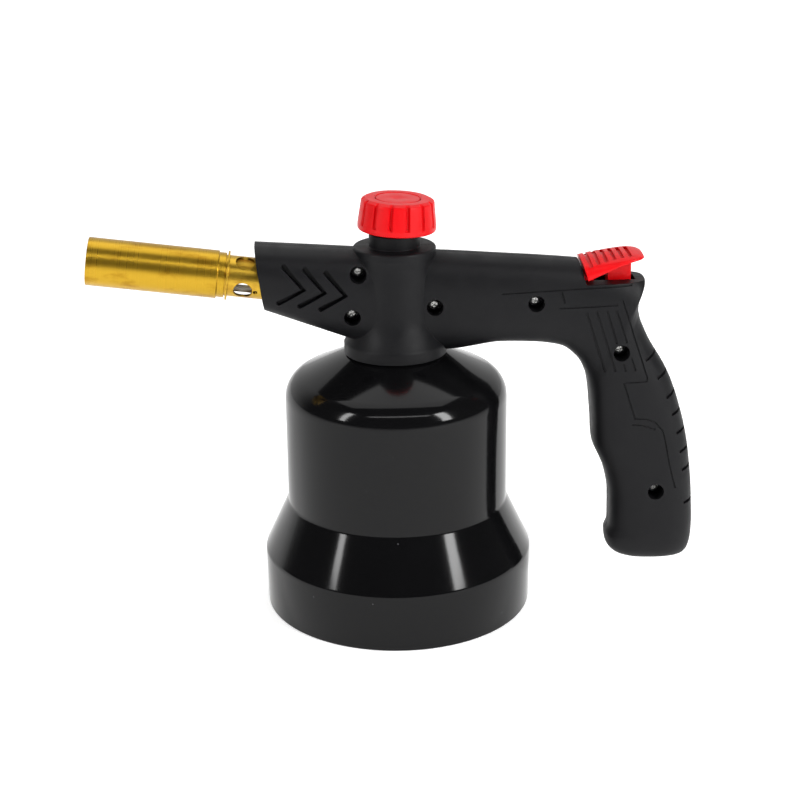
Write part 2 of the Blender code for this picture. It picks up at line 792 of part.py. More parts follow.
def bay(name, grow):
    """The room over the bay's floor and behind its front wall, made larger by a wall thickness."""
    points = [(81.6, 180), (81.6, 162.1), (84.2, 151.7), (130, 151.7), (130, 180)]
    outline = [(x * MM - grow, z * MM - grow * (z < 160)) for x, z in points]
    return slab(name, outline, -30 * MM, 30 * MM)


def chevron(index, low, high):
    """One arrow mark, as a bar from y = low to y = high."""
    tip_x = CHEVRON_TIP[0] + index * CHEVRON_STEP[0]
    tip_z = CHEVRON_TIP[1] + index * CHEVRON_STEP[1]
    upper, lower = CHEVRON_ARMS
    outline = [
        (tip_x + upper[0], tip_z + upper[1]),
        (tip_x, tip_z),
        (tip_x + lower[0], tip_z + lower[1]),
        (tip_x + lower[0] - CHEVRON_STROKE, tip_z + lower[1]),
        (tip_x - CHEVRON_STROKE * 1.2, tip_z),
        (tip_x + upper[0] - CHEVRON_STROKE, tip_z + upper[1]),
    ]
    return slab("chevron", outline, low, high)


def inner_supports():
    """Solid parts inside the housing.

    Pillars for the screws, a plate on the valve's flange, a cradle for the tube, a thick wall behind the
    arrow marks, ribs for the igniter and ears for the button's pin.
    """
    parts = []
    for x, z in SCREW_PLACES:
        parts.append(cross_rod("pillar", PILLAR_RADIUS, x, z, -21 * MM, 21 * MM))
        parts.append(cross_rod("cup", PILLAR_RADIUS + 1.3 * MM, x, z, -20 * MM, -SCREW_SEAT + 0.6 * MM))
    plate_low = FLANGE_LOW + 4.5 * MM + GAP
    parts.append(pipe("plate", 20 * MM, 10 * MM + GAP, plate_low, plate_low + 2 * MM))
    cradle = box("cradle", (CRADLE_X, -20 * MM, 125 * MM), (CRADLE_X + 1.8 * MM, 20 * MM, 175 * MM))
    bore = place(rod("bore", TUBE_RADIUS + GAP, 20 * MM, 100 * MM, 28), BURNER)
    parts.append(cut(cradle, bore))
    for low, high in IGNITER_RIBS:
        parts.append(box("rib", (low, -20 * MM, 129 * MM), (high, 20 * MM, 138 * MM)))
    for side in (-1, 1):
        low, high = sorted((side * (CHEVRON_FLOOR - 1 * MM), side * 20 * MM))
        parts.append(box("backing", (-53 * MM, low, 140 * MM), (-19 * MM, high, 168 * MM)))
        low, high = sorted((side * (SLOT_HALF + 0.4 * MM), side * 20 * MM))
        near = (LUG_PIVOT[0] - 3 * MM, low, LUG_PIVOT[1] - 3 * MM)
        far = (LUG_PIVOT[0] + 3 * MM, high, 151 * MM)
        parts.append(box("ear", near, far))
    return parts


def make_housing(plastic):
    outside = shell_body("outside", HANDLE, 0)
    join_shell(outside, shell_body("front", FRONT_SHELL, 0), column_outside())
    hollow = shell_body("hollow", HANDLE, WALL, last=-2.4 * MM)
    front_hollow = shell_body("front_hollow", FRONT_SHELL, WALL, first=3 * MM)
    join_shell(hollow, front_hollow, column_hollow())
    cut_shell(hollow, bay("bay", WALL))

    cut_shell(hollow, *inner_supports())
    body = cut_shell(outside, hollow)
    cut_shell(body, bay("bay", 0))
    for k in range(3):
        cut_shell(body, chevron(k, -25 * MM, -CHEVRON_FLOOR), chevron(k, CHEVRON_FLOOR, 25 * MM))
    cut_shell(body, box("slot", (SLOT[0], -SLOT_HALF, 140 * MM), (SLOT[1], SLOT_HALF, 160 * MM)))
    cut_shell(body, place(rod("stem_hole", SPINDLE_RADIUS + 0.9 * MM, 5 * MM, 30 * MM), SPINDLE))
    cut_shell(body, cross_rod("pin_hole", PIN_RADIUS + GAP, *LUG_PIVOT, -9.4 * MM, 9.4 * MM, 16))
    for x, z in SCREW_PLACES:
        cut_shell(body, cross_rod("recess", SCREW_HEAD_RADIUS + 1.1 * MM, x, z, -30 * MM, -SCREW_SEAT))
        hole = cross_rod("hole", SCREW_RADIUS + GAP, x, z, -SCREW_SEAT - 1 * MM, SCREW_END + 2.2 * MM, 12)
        cut_shell(body, hole)

    for name, low, high in (
        ("housing_left", -40 * MM, -PARTING),
        ("housing_right", PARTING, 40 * MM),
    ):
        half = body.copy()
        half.data = body.data.copy()
        bpy.context.scene.collection.objects.link(half)
        half.name = name
        keep = box("keep", (-200 * MM, low, 0), (200 * MM, high, 250 * MM))
        finish(combine(half, [keep], "INTERSECT", "MANIFOLD"), plastic, 40)
        half.data.name = name
    bpy.data.objects.remove(body, do_unlink=True)


def make_screws(zinc):
    for index, (x, z) in enumerate(SCREW_PLACES):
        profile = [
            (0, -SCREW_END),
            (SCREW_RADIUS, 0.6 * MM - SCREW_END),
            (SCREW_RADIUS, SCREW_SEAT + GAP),
            (SCREW_HEAD_RADIUS, SCREW_SEAT + GAP),
            (SCREW_HEAD_RADIUS, SCREW_SEAT + 1.2 * MM),
            (SCREW_HEAD_RADIUS * 0.6, SCREW_SEAT + 2.0 * MM),
            (0, SCREW_SEAT + 2.1 * MM),
        ]
        screw = turned(f"housing_screw_{index + 1}", profile, 12)
        turn = Matrix.Translation((x, 0, z)) @ Matrix.Rotation(math.radians(90), 4, "X")
        finish(place(screw, turn), zinc)


# ---------------------------------------------------------------- ignition


def make_button(red, steel):
    rings = []
    for x, ridge, edge, half_width, lean in PAD:
        ring = []
        for k in range(17):
            turn = math.pi * k / 16
            y = half_width * math.cos(turn)
            z = edge + (ridge - edge) * math.sin(turn) ** 0.7
            ring.append(Vector((x + (ridge - z) * lean, y, z)) * MM)
        rings.append(ring)
    pad = lofted("ignition_button", rings)
    stem = box("stem", (STEM[0], -3.6 * MM, 147.4 * MM), (STEM[1], 3.6 * MM, 162 * MM))
    nose = cross_rod("nose", 1.5 * MM, PLUNGER_X, NOSE_Z, -3 * MM, 3 * MM, 16)
    neck = box("neck", (98.6 * MM, -2.9 * MM, NOSE_Z), (101.4 * MM, 2.9 * MM, 149 * MM))
    near = (LUG_PIVOT[0] - 2.4 * MM, -3.4 * MM, LUG_PIVOT[1])
    far = (LUG_PIVOT[0] + 2.4 * MM, 3.4 * MM, 158 * MM)
    lug = box("lug", near, far)
    eye = cross_rod("eye", 2.5 * MM, *LUG_PIVOT, -3.5 * MM, 3.5 * MM, 20)
    join(pad, stem, nose, neck, lug, eye)
    cut(pad, cross_rod("hole", PIN_RADIUS + GAP, *LUG_PIVOT, -6 * MM, 6 * MM, 16))
    pad.data.transform(Matrix.Translation((-LUG_PIVOT[0], 0, -LUG_PIVOT[1])))
    place(pad, Matrix.Translation((LUG_PIVOT[0], 0, LUG_PIVOT[1])))
    finish(pad, red)
    finish(cross_rod("button_pin", PIN_RADIUS, *LUG_PIVOT, -9 * MM, 9 * MM, 16), steel)


def coil_points(radius, low, high, turns, per_turn):
    count = turns * per_turn
    points = []
    for k in range(count + 1):
        turn = 2 * math.pi * k / per_turn
        points.append((radius * math.cos(turn), radius * math.sin(turn), low + (high - low) * k / count))
    return points


def wire(name, points, radius, sides):
    """Round wire along a chain of points, with closed ends."""
    curve = bpy.data.curves.new(name, "CURVE")
    curve.dimensions = "3D"
    curve.bevel_depth = radius
    curve.bevel_resolution = sides
    curve.use_fill_caps = True
    spline = curve.splines.new("POLY")
    spline.points.add(len(points) - 1)
    for slot, point in zip(spline.points, points):
        slot.co = (*point, 1)
    thing = bpy.data.objects.new(name, curve)
    bpy.context.scene.collection.objects.link(thing)
    return thing


def solid_wire(name, points, radius, sides):
    """The same wire as a mesh object."""
    guide = wire("guide", points, radius, sides)
    bpy.context.view_layer.update()
    mesh = bpy.data.meshes.new_from_object(guide.evaluated_get(bpy.context.evaluated_depsgraph_get()))
    bm = bmesh.new()
    bm.from_mesh(mesh)
    bmesh.ops.remove_doubles(bm, verts=bm.verts, dist=0.001 * MM)
    bpy.data.objects.remove(guide, do_unlink=True)
    return from_bmesh(name, bm)


def make_igniter(shell, plunger_plastic, steel):
    module = box("piezo_module", MODULE_LOW, MODULE_HIGH)
    bore = rod("bore", PLUNGER_RADIUS + GAP, SPRING_FOOT - GAP, MODULE_HIGH[2] + 1 * MM)
    cut(module, place(bore, Matrix.Translation((PLUNGER_X, 0, 0))))
    finish(module, shell)
    plunger = rod("piezo_plunger", PLUNGER_RADIUS, PLUNGER_LOW, PLUNGER_TOP - 1 * MM)
    head = box("head", (-4 * MM, -3.4 * MM, PLUNGER_TOP - PLUNGER_HEAD), (4 * MM, 3.4 * MM, PLUNGER_TOP))
    join(plunger, head)
    finish(place(plunger, Matrix.Translation((PLUNGER_X, 0, 0))), plunger_plastic)
    low = SPRING_FOOT + SPRING_WIRE
    high = PLUNGER_LOW - SPRING_WIRE - GAP
    coil = coil_points(SPRING_RADIUS, low, high, SPRING_TURNS, 12)
    spring = solid_wire("piezo_spring", coil, SPRING_WIRE, 0)
    finish(place(spring, Matrix.Translation((PLUNGER_X, 0, 0))), steel)


def smooth_route(corners, steps):
    """Catmull-Rom curve through the route's points."""
    ends = [corners[0] * 2 - corners[1], *corners, corners[-1] * 2 - corners[-2]]
    points = []
    for a, b, c, d in zip(ends, ends[1:], ends[2:], ends[3:]):
        for k in range(steps):
            t = k / steps
            square = a * 2 - b * 5 + c * 4 - d
            cube = b * 3 - a - c * 3 + d
            points.append((b * 2 + (c - a) * t + square * t**2 + cube * t**3) / 2)
    points.append(corners[-1])
    return points


def make_lead(rubber):
    corners = [Vector(point) * MM for point in LEAD_ROUTE]
    corners.append(burner_point(ELECTRODE_REAR - 1.6 * MM, ELECTRODE_DROP) + Vector((0, 0.6 * MM, 0)))
    corners.append(burner_point(ELECTRODE_REAR - GAP, ELECTRODE_DROP))
    finish(solid_wire("ignition_lead", smooth_route(corners, 2), LEAD_RADIUS, 1), rubber)


# ---------------------------------------------------------------- the torch


def build():
    clear_scene()
    black_plastic = material("black_plastic", (0.018, 0.019, 0.022), 0.55)
    gloss_black = material("gloss_black", (0.008, 0.008, 0.009), 0.08)
    nylon = material("nylon", (0.03, 0.03, 0.03), 0.5)
    red = material("red", (0.75, 0.01, 0.02), 0.35)
    brass = material("brass", (0.66, 0.46, 0.14), 0.3, 1.0)
    bronze = material("bronze", (0.42, 0.22, 0.07), 0.4, 1.0)
    steel = material("steel", (0.55, 0.55, 0.56), 0.35, 1.0)
    zinc = material("zinc", (0.6, 0.6, 0.58), 0.35, 1.0)
    rubber = material("rubber", (0.02, 0.02, 0.02), 0.8)
    sinter = material("sinter", (0.4, 0.3, 0.18), 0.8, 1.0)
    ceramic = material("ceramic", (0.85, 0.83, 0.78), 0.4)
    cream = material("cream", (0.8, 0.78, 0.7), 0.45)

    make_bell(gloss_black)
    make_base(nylon, steel)
    make_valve(brass, steel, rubber, sinter)
    make_spindle(brass, rubber, steel)
    make_knob(red)
    make_burner(brass, bronze, steel, ceramic)
    make_housing(black_plastic)
    make_screws(zinc)
    make_button(red, steel)
    make_igniter(black_plastic, cream, steel)
    make_lead(rubber)


build()
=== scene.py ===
"""Studio picture of a hand torch for a pierceable gas cartridge.

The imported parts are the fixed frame. The pieces that show are built again here with their fine shapes:
rounded edges, grip grooves, arrow marks, flutes and screw recesses. Sizes and places come from the frame.
"""

import json
import math

import bmesh
import bpy
import numpy as np
from mathutils import Matrix, Vector


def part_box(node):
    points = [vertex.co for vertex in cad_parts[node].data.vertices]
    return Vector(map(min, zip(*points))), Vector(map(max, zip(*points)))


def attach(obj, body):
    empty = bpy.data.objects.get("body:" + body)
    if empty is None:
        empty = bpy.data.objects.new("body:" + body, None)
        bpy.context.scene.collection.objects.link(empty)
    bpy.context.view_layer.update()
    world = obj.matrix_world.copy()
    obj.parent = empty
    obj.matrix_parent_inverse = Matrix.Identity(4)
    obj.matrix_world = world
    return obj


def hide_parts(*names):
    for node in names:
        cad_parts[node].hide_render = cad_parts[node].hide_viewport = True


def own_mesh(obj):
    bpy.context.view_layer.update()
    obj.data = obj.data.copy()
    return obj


MM = 0.001

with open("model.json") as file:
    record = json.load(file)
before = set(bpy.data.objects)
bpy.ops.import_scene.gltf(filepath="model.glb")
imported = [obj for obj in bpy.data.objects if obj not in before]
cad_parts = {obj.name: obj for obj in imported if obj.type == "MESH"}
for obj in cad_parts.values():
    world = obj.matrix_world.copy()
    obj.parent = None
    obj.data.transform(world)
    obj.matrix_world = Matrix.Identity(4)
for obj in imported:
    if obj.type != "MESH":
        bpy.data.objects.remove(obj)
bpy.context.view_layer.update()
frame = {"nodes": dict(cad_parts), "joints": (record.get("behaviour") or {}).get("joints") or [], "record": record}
NODES = frame["nodes"]
JOINTS = {joint["name"]: joint for joint in frame["joints"]}
MOUNTS = {mount["name"]: mount for mount in frame["record"]["mounts"]}


def turned_frame(point, axis):
    """Frame with its origin at a point and its Z along a direction of the XZ plane."""
    turn = Vector(axis).to_track_quat("Z", "Y").to_matrix().to_4x4()
    return Matrix.Translation(point) @ turn


def burner_frame():
    """Burner axis, with its origin where it crosses the bell's axis."""
    mouth = MOUNTS["burner_mouth"]
    axis = Vector(mouth["axis"])
    point = Vector((mouth["pos_m"][0], 0, mouth["pos_m"][2]))
    return turned_frame(point - axis * (point.x / axis.x), axis)


def spindle_frame():
    joint = JOINTS["knob_turn"]
    lean = math.atan2(joint["axis"][0], joint["axis"][2])
    return Matrix.Translation(joint["pos_m"]) @ Matrix.Rotation(lean, 4, "Y")


BURNER = burner_frame()
SPINDLE = spindle_frame()
UPRIGHT = Matrix.Identity(4)


def measure(node, axes=UPRIGHT):
    """Greatest radius, lowest and highest place of a part about the Z axis of a frame."""
    turn = axes.inverted()
    points = [turn @ vertex.co for vertex in NODES[node].data.vertices]
    radius = max(math.hypot(point.x, point.y) for point in points)
    return radius, min(point.z for point in points), max(point.z for point in points)


BELL_RADIUS, BELL_BOTTOM, BELL_TOP = measure("cartridge_bell")
SLEEVE_RADIUS, SLEEVE_REAR, MOUTH = measure("burner_sleeve", BURNER)
TUBE_RADIUS, TUBE_REAR, TUBE_END = measure("mixer_tube", BURNER)
RING_RADIUS, RING_REAR, RING_FRONT = measure("retaining_ring", BURNER)
KNOB_RADIUS, KNOB_BOTTOM, KNOB_TOP = measure("control_knob", SPINDLE)
CAP_RADIUS, CAP_BOTTOM, CAP_TOP = measure("knob_cap", SPINDLE)
SPINDLE_RADIUS = 3.0 * MM
BUTTON_PIVOT = Vector(JOINTS["button_press"]["pos_m"])
SCREWS = [f"housing_screw_{index}" for index in range(1, 7)]
SCREW_HEAD_RADIUS = 2.6 * MM
SCREW_HEAD_HEIGHT = 2.1 * MM
SCREW_SHANK_RADIUS = 1.3 * MM
SCREW_TOP = -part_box("housing_screw_1")[0].y


def screw_place(name):
    low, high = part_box(name)
    return (low.x + high.x) / 2, (low.z + high.z) / 2


# ---------------------------------------------------------------- mesh tools


def from_bmesh(name, bm):
    bmesh.ops.recalc_face_normals(bm, faces=bm.faces)
    mesh = bpy.data.meshes.new(name)
    bm.to_mesh(mesh)
    bm.free()
    thing = bpy.data.objects.new(name, mesh)
    bpy.context.scene.collection.objects.link(thing)
    return thing


def place(thing, axes):
    thing.matrix_world = axes
    bpy.context.view_layer.update()
    return thing


def finish(thing, surface, crease=35):
    """Material, smooth faces and clean normals."""
    mesh = thing.data
    mesh.materials.clear()
    mesh.materials.append(surface)
    mesh.shade_smooth()
    mesh.set_sharp_from_angle(angle=math.radians(crease))
    return thing


def weighted(thing):
    """Normals weighted by face area, so that cut faces don't bend the shading of the skin beside them."""
    step = thing.modifiers.new("normals", "WEIGHTED_NORMAL")
    step.keep_sharp = True
    step.weight = 90
    return thing


def rounded(corners, closed=True):
    """Outline of 2-D points with a fillet at each (x, y, radius) corner, in steps of about 12 degrees."""
    count = len(corners)
    points = []
    for index, (x, y, radius) in enumerate(corners):
        here = Vector((x, y))
        ends = not closed and index in (0, count - 1)
        if radius <= 0 or ends:
            points.append((x, y))
            continue
        before = Vector(corners[index - 1][:2]) - here
        after = Vector(corners[(index + 1) % count][:2]) - here
        angle = before.angle(after)
        if angle > math.pi - 0.02:
            points.append((x, y))
            continue
        reach = min(radius / math.tan(angle / 2), 0.49 * before.length, 0.49 * after.length)
        start = here + before.normalized() * reach
        end = here + after.normalized() * reach
        steps = max(3, round((math.pi - angle) / math.radians(12)))
        middle = here + (before.normalized() + after.normalized()).normalized() * reach / math.cos(angle / 2)
        arm = start - middle
        first = math.atan2(arm.y, arm.x)
        arm = end - middle
        sweep = (math.atan2(arm.y, arm.x) - first + math.pi) % (2 * math.pi) - math.pi
        for k in range(steps + 1):
            turn = first + sweep * k / steps
            points.append((middle.x + arm.length * math.cos(turn), middle.y + arm.length * math.sin(turn)))
    return points


def turned(name, profile, segments=128, wobble=None):
    """Body turned about Z from (radius, height) points; wobble(angle, height) takes some radius away."""
    bm = bmesh.new()
    rings = []
    for radius, height in profile:
        if radius <= 0:
            rings.append([bm.verts.new((0, 0, height))])
            continue
        ring = []
        for k in range(segments):
            turn = 2 * math.pi * k / segments
            reach = radius - (wobble(turn, radius, height) if wobble else 0)
            ring.append(bm.verts.new((reach * math.cos(turn), reach * math.sin(turn), height)))
        rings.append(ring)
    pairs = list(zip(rings, rings[1:]))
    if profile[0][0] > 0:
        pairs.append((rings[-1], rings[0]))
    for lower, upper in pairs:
        for k in range(segments):
            after = (k + 1) % segments
            corners = [
                lower[k % len(lower)],
                lower[after % len(lower)],
                upper[after % len(upper)],
                upper[k % len(upper)],
            ]
            corners = list(dict.fromkeys(corners))
            if len(corners) > 2:
                bm.faces.new(corners)
    return from_bmesh(name, bm)


def rod(name, radius, low, high, segments=48):
    return turned(name, [(0, low), (radius, low), (radius, high), (0, high)], segments)


def lofted(name, rings):
    """Skin through equal rings of points, with a flat face on each end."""
    bm = bmesh.new()
    loops = [[bm.verts.new(point) for point in ring] for ring in rings]
    count = len(rings[0])
    for loop, following in zip(loops, loops[1:]):
        for k in range(count):
            after = (k + 1) % count
            bm.faces.new((loop[k], loop[after], following[after], following[k]))
    ends = [bm.faces.new(loops[0]), bm.faces.new(list(reversed(loops[-1])))]
    bmesh.ops.triangulate(bm, faces=ends)
    return from_bmesh(name, bm)


def slab(name, outline, low, high):
    """Outline in the side view (x, z), extruded from y = low to y = high."""
    return lofted(name, [[(x, y, z) for x, z in outline] for y in (low, high)])


def box(name, low, high):
    corners = [(low[0], low[2]), (high[0], low[2]), (high[0], high[2]), (low[0], high[2])]
    return slab(name, corners, low[1], high[1])


def cross_rod(name, radius, x, z, low, high, segments=48):
    """Cylinder along Y through (x, z) of the side view."""
    turn = Matrix.Translation((x, 0, z)) @ Matrix.Rotation(math.radians(-90), 4, "X")
    return place(rod(name, radius, low, high, segments), turn)


def combine(thing, others, operation):
    """Join, cut or intersect a closed object with others, which are used up."""
    for other in others:
        step = thing.modifiers.new(other.name, "BOOLEAN")
        step.operation = operation
        step.solver = "MANIFOLD"
        step.object = other
        bpy.context.view_layer.update()
        result = thing.evaluated_get(bpy.context.evaluated_depsgraph_get())
        mesh = bpy.data.meshes.new_from_object(result)
        thing.modifiers.clear()
        thing.data = mesh
        bpy.data.objects.remove(other, do_unlink=True)
    return thing


def cut(thing, *others):
    return combine(thing, others, "DIFFERENCE")


def join(thing, *others):
    return combine(thing, others, "UNION")


def stroke(name, path, width, low, high):
    """Bar of the given width along a path of the side view, from y = low to y = high."""
    points = [Vector(point) * MM for point in path]
    left, right = [], []
    for index, point in enumerate(points):
        before = points[max(index - 1, 0)]
        after = points[min(index + 1, len(points) - 1)]
        side = (after - before).normalized().orthogonal() * width / 2
        left.append(tuple(point + side))
        right.append(tuple(point - side))
    return slab(name, left + right[::-1], low, high)


# ---------------------------------------------------------------- materials


class Look:
    """Node material under construction: its shader and short ways to add and join nodes."""

    def __init__(self, name):
        self.material = bpy.data.materials.new(name)
        self.material.use_nodes = True
        self.tree = self.material.node_tree
        self.shader = self.tree.nodes["Principled BSDF"]
        self.place = self.add("ShaderNodeTexCoord").outputs["Object"]

    def add(self, kind, settings=None, inputs=None):
        node = self.tree.nodes.new(kind)
        for key, value in (settings or {}).items():
            setattr(node, key, value)
        for key, value in (inputs or {}).items():
            if isinstance(value, bpy.types.NodeSocket):
                self.tree.links.new(value, node.inputs[key])
            else:
                node.inputs[key].default_value = value
        return node

    def set(self, **values):
        """Values the same all over, set straight on the shader."""
        for key, value in values.items():
            self.shader.inputs[key.replace("_", " ")].default_value = value

    def join(self, socket, name):
        self.tree.links.new(socket, self.shader.inputs[name])

    def noise(self, scale, detail=3.0, roughness=0.55, stretch=(1, 1, 1)):
        """Noise of a size in metres, stretched along the axes."""
        shrunk = self.add("ShaderNodeVectorMath", {"operation": "MULTIPLY"}, {0: self.place, 1: stretch})
        inputs = {"Vector": shrunk.outputs[0], "Scale": 1 / scale, "Detail": detail, "Roughness": roughness}
        return self.add("ShaderNodeTexNoise", None, inputs).outputs["Fac"]

    def steps(self, value, low, high, to_low=0.0, to_high=1.0):
        inputs = {"Value": value, "From Min": low, "From Max": high, "To Min": to_low, "To Max": to_high}
        return self.add("ShaderNodeMapRange", {"interpolation_type": "SMOOTHSTEP"}, inputs).outputs["Result"]

    def mixed(self, share, first, second):
        """Colour between two colours or sockets, by a share from 0 to 1."""
        node = self.add("ShaderNodeMix", {"data_type": "RGBA"}, {0: share})
        for index, colour in ((6, first), (7, second)):
            if isinstance(colour, bpy.types.NodeSocket):
                self.tree.links.new(colour, node.inputs[index])
            else:
                node.inputs[index].default_value = (*colour, 1.0)
        return node.outputs[2]

    def bump(self, height, distance, strength=1.0, normal=None):
        inputs = {"Height": height, "Distance": distance, "Strength": strength}
        if normal is not None:
            inputs["Normal"] = normal
        return self.add("ShaderNodeBump", None, inputs).outputs["Normal"]

    def soft_edges(self, radius):
        """Rounding of sharp edges, as a moulding has."""
        return self.add("ShaderNodeBevel", {"samples": 4}, {"Radius": radius}).outputs["Normal"]


def black_plastic():
    """Moulded black plastic with a fine spark-eroded texture."""
    look = Look("black_plastic_look")
    look.set(Specular_IOR_Level=0.2)
    patches = look.noise(9 * MM, 4)
    grain = look.noise(0.35 * MM, 2)
    look.join(look.mixed(patches, (0.0026, 0.0026, 0.0034), (0.0044, 0.0044, 0.0054)), "Base Color")
    look.join(look.steps(patches, 0.3, 0.7, 0.46, 0.56), "Roughness")
    look.join(look.bump(grain, 0.05 * MM, 0.6, look.soft_edges(0.35 * MM)), "Normal")
    return look.material


def gloss_black():
    """Thick glossy enamel on steel, with a faint waviness and specks of dust."""
    look = Look("gloss_black_look")
    look.set(Specular_IOR_Level=0.2)
    spots = {"Vector": look.place, "Scale": 1 / (5.5 * MM)}
    dust = look.add("ShaderNodeTexVoronoi", {"feature": "F1"}, spots)
    specks = look.steps(dust.outputs["Distance"], 0.02, 0.05, 1.0, 0.0)
    few = look.steps(look.noise(14 * MM, 2), 0.55, 0.6)
    shown = look.add("ShaderNodeMath", {"operation": "MULTIPLY"}, {0: specks, 1: few}).outputs[0]
    tone = look.mixed(look.noise(30 * MM, 3), (0.0022, 0.0022, 0.0025), (0.0038, 0.0038, 0.0042))
    look.join(look.mixed(shown, tone, (0.16, 0.16, 0.17)), "Base Color")
    look.join(look.steps(shown, 0.0, 1.0, 0.11, 0.5), "Roughness")
    waves = look.noise(7 * MM, 1)
    look.join(look.bump(waves, 0.02 * MM, 0.5), "Normal")
    return look.material


def red_plastic():
    """Satin red plastic."""
    look = Look("red_look")
    look.set(Specular_IOR_Level=0.2)
    patches = look.noise(5 * MM, 3)
    look.join(look.mixed(patches, (0.62, 0.0010, 0.0032), (0.72, 0.0016, 0.0052)), "Base Color")
    look.join(look.steps(patches, 0.3, 0.7, 0.33, 0.42), "Roughness")
    look.join(look.bump(look.noise(0.5 * MM, 2), 0.03 * MM, 0.4, look.soft_edges(0.3 * MM)), "Normal")
    return look.material


def turned_metal(name, dark, light, stain, roughness, ring_size):
    """Metal from a lathe: rings round the Z axis of its own object, and tarnish in soft patches."""
    look = Look(name)
    look.set(Metallic=1.0)
    rings = look.noise(1.0, 3, stretch=(8, 8, 1 / ring_size))
    patches = look.noise(6 * MM, 4, stretch=(1, 1, 0.5))
    body = look.mixed(rings, dark, light)
    look.join(look.mixed(look.steps(patches, 0.5, 0.75), body, stain), "Base Color")
    look.join(look.steps(rings, 0.25, 0.75, roughness - 0.06, roughness + 0.08), "Roughness")
    look.join(look.bump(rings, 0.02 * MM, 0.5), "Normal")
    return look.material


def plain_metal(name, dark, light, roughness):
    """Plated steel with light scuffs."""
    look = Look(name)
    look.set(Metallic=1.0)
    scuffs = look.noise(1.2 * MM, 4)
    look.join(look.mixed(scuffs, dark, light), "Base Color")
    look.join(look.steps(scuffs, 0.3, 0.7, roughness - 0.07, roughness + 0.1), "Roughness")
    look.join(look.bump(scuffs, 0.02 * MM, 0.5), "Normal")
    return look.material


def dull(name, dark, light, roughness, grain=0.5 * MM):
    """Rubber, nylon, ceramic and other dull things."""
    look = Look(name)
    mottle = look.noise(4 * MM, 4)
    look.join(look.mixed(mottle, dark, light), "Base Color")
    look.join(look.steps(mottle, 0.3, 0.7, roughness - 0.05, roughness + 0.08), "Roughness")
    look.join(look.bump(look.noise(grain, 2), 0.04 * MM, 0.5), "Normal")
    return look.material


BRASS_TONES = ((0.43, 0.25, 0.017), (0.60, 0.37, 0.036), (0.36, 0.19, 0.013))
BRONZE_TONES = ((0.50, 0.30, 0.028), (0.64, 0.41, 0.050), (0.34, 0.16, 0.020))

LOOKS = {
    "black_plastic": black_plastic(),
    "gloss_black": gloss_black(),
    "nylon": dull("nylon_look", (0.014, 0.014, 0.015), (0.024, 0.024, 0.025), 0.42),
    "red": red_plastic(),
    "brass": turned_metal("brass_look", *BRASS_TONES, 0.31, 0.35 * MM),
    "bronze": turned_metal("bronze_look", *BRONZE_TONES, 0.33, 0.5 * MM),
    "steel": plain_metal("steel_look", (0.42, 0.42, 0.43), (0.6, 0.6, 0.61), 0.32),
    "zinc": plain_metal("zinc_look", (0.50, 0.50, 0.48), (0.72, 0.72, 0.70), 0.42),
    "rubber": dull("rubber_look", (0.010, 0.010, 0.010), (0.018, 0.018, 0.018), 0.7),
    "sinter": dull("sinter_look", (0.25, 0.18, 0.1), (0.4, 0.3, 0.18), 0.7, 0.25 * MM),
    "ceramic": dull("ceramic_look", (0.74, 0.72, 0.66), (0.84, 0.82, 0.77), 0.35),
    "cream": dull("cream_look", (0.68, 0.65, 0.55), (0.76, 0.74, 0.65), 0.42),
}


def dress(thing, name, body, *stands_for):
    """A new piece gets its look, rides on a body and stands for CAD parts."""
    thing.data.materials.clear()
    thing.data.materials.append(LOOKS[name])
    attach(thing, body)
    if stands_for:
        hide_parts(*stands_for)
    return thing


def dress_frame():
    """Every CAD part takes the look of its slot in the record."""
    for row in frame["record"]["subparts"]:
        thing = NODES[row["node"]]
        thing.data.materials.clear()
        thing.data.materials.append(LOOKS[row["material_slot"]])


# ---------------------------------------------------------------- igniter

def make_spring():
    """The igniter's spring: a steel copy of the CAD coil, standing in for it."""
    spring = NODES["piezo_spring"].copy()
    spring.data = spring.data.copy()
    spring.name = "piezo_spring_coil"
    bpy.context.collection.objects.link(spring)
    dress(spring, "steel", "torch", "piezo_spring")
    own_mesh(spring)
    return spring


# ---------------------------------------------------------------- bell and base

SHEET = 0.9 * MM
HEM_WIDTH = 2.0 * MM
HEM_HEIGHT = 1.2 * MM
STEM_HOLE_RADIUS = 8.3 * MM
FOOT_TOP = 26.3 * MM
FLARE_TOP = 50.3 * MM
WAIST = BELL_RADIUS - 11.15 * MM
SHOULDER = 99.3 * MM
SHOULDER_ROUND = 12.0 * MM
DOME_SLOPE = math.radians(24.5)
DOME_EDGE = 22.0 * MM


def bell_wall(inset):
    """Corners of the bell's wall with their fillets, from the hem to the hole."""
    drop = SHOULDER + SHOULDER_ROUND * math.tan((math.pi / 2 - DOME_SLOPE) / 2)
    return [
        (BELL_RADIUS - inset, FOOT_TOP - inset * 0.4, 4.0 * MM),
        (WAIST - inset, FLARE_TOP - inset * 0.2, 4.0 * MM),
        (WAIST - inset, drop - inset * 0.6, SHOULDER_ROUND - inset),
        (DOME_EDGE, BELL_TOP - inset, 1.0 * MM),
        (STEM_HOLE_RADIUS, BELL_TOP - inset, 0),
    ]


def make_bell():
    foot = BELL_RADIUS - 0.3 * MM
    outside = [(foot, BELL_BOTTOM, 0.9 * MM), *bell_wall(0)]
    inside = [
        (foot - HEM_WIDTH, BELL_BOTTOM, 0.3 * MM),
        (foot - HEM_WIDTH, HEM_HEIGHT, 0),
        (foot - SHEET, HEM_HEIGHT, 0),
    ]
    profile = rounded(outside + (inside + bell_wall(SHEET))[::-1])
    bell = turned("bell", profile, 192)
    dress(finish(bell, LOOKS["gloss_black"], 50), "gloss_black", "torch", "cartridge_bell")


# ---------------------------------------------------------------- burner

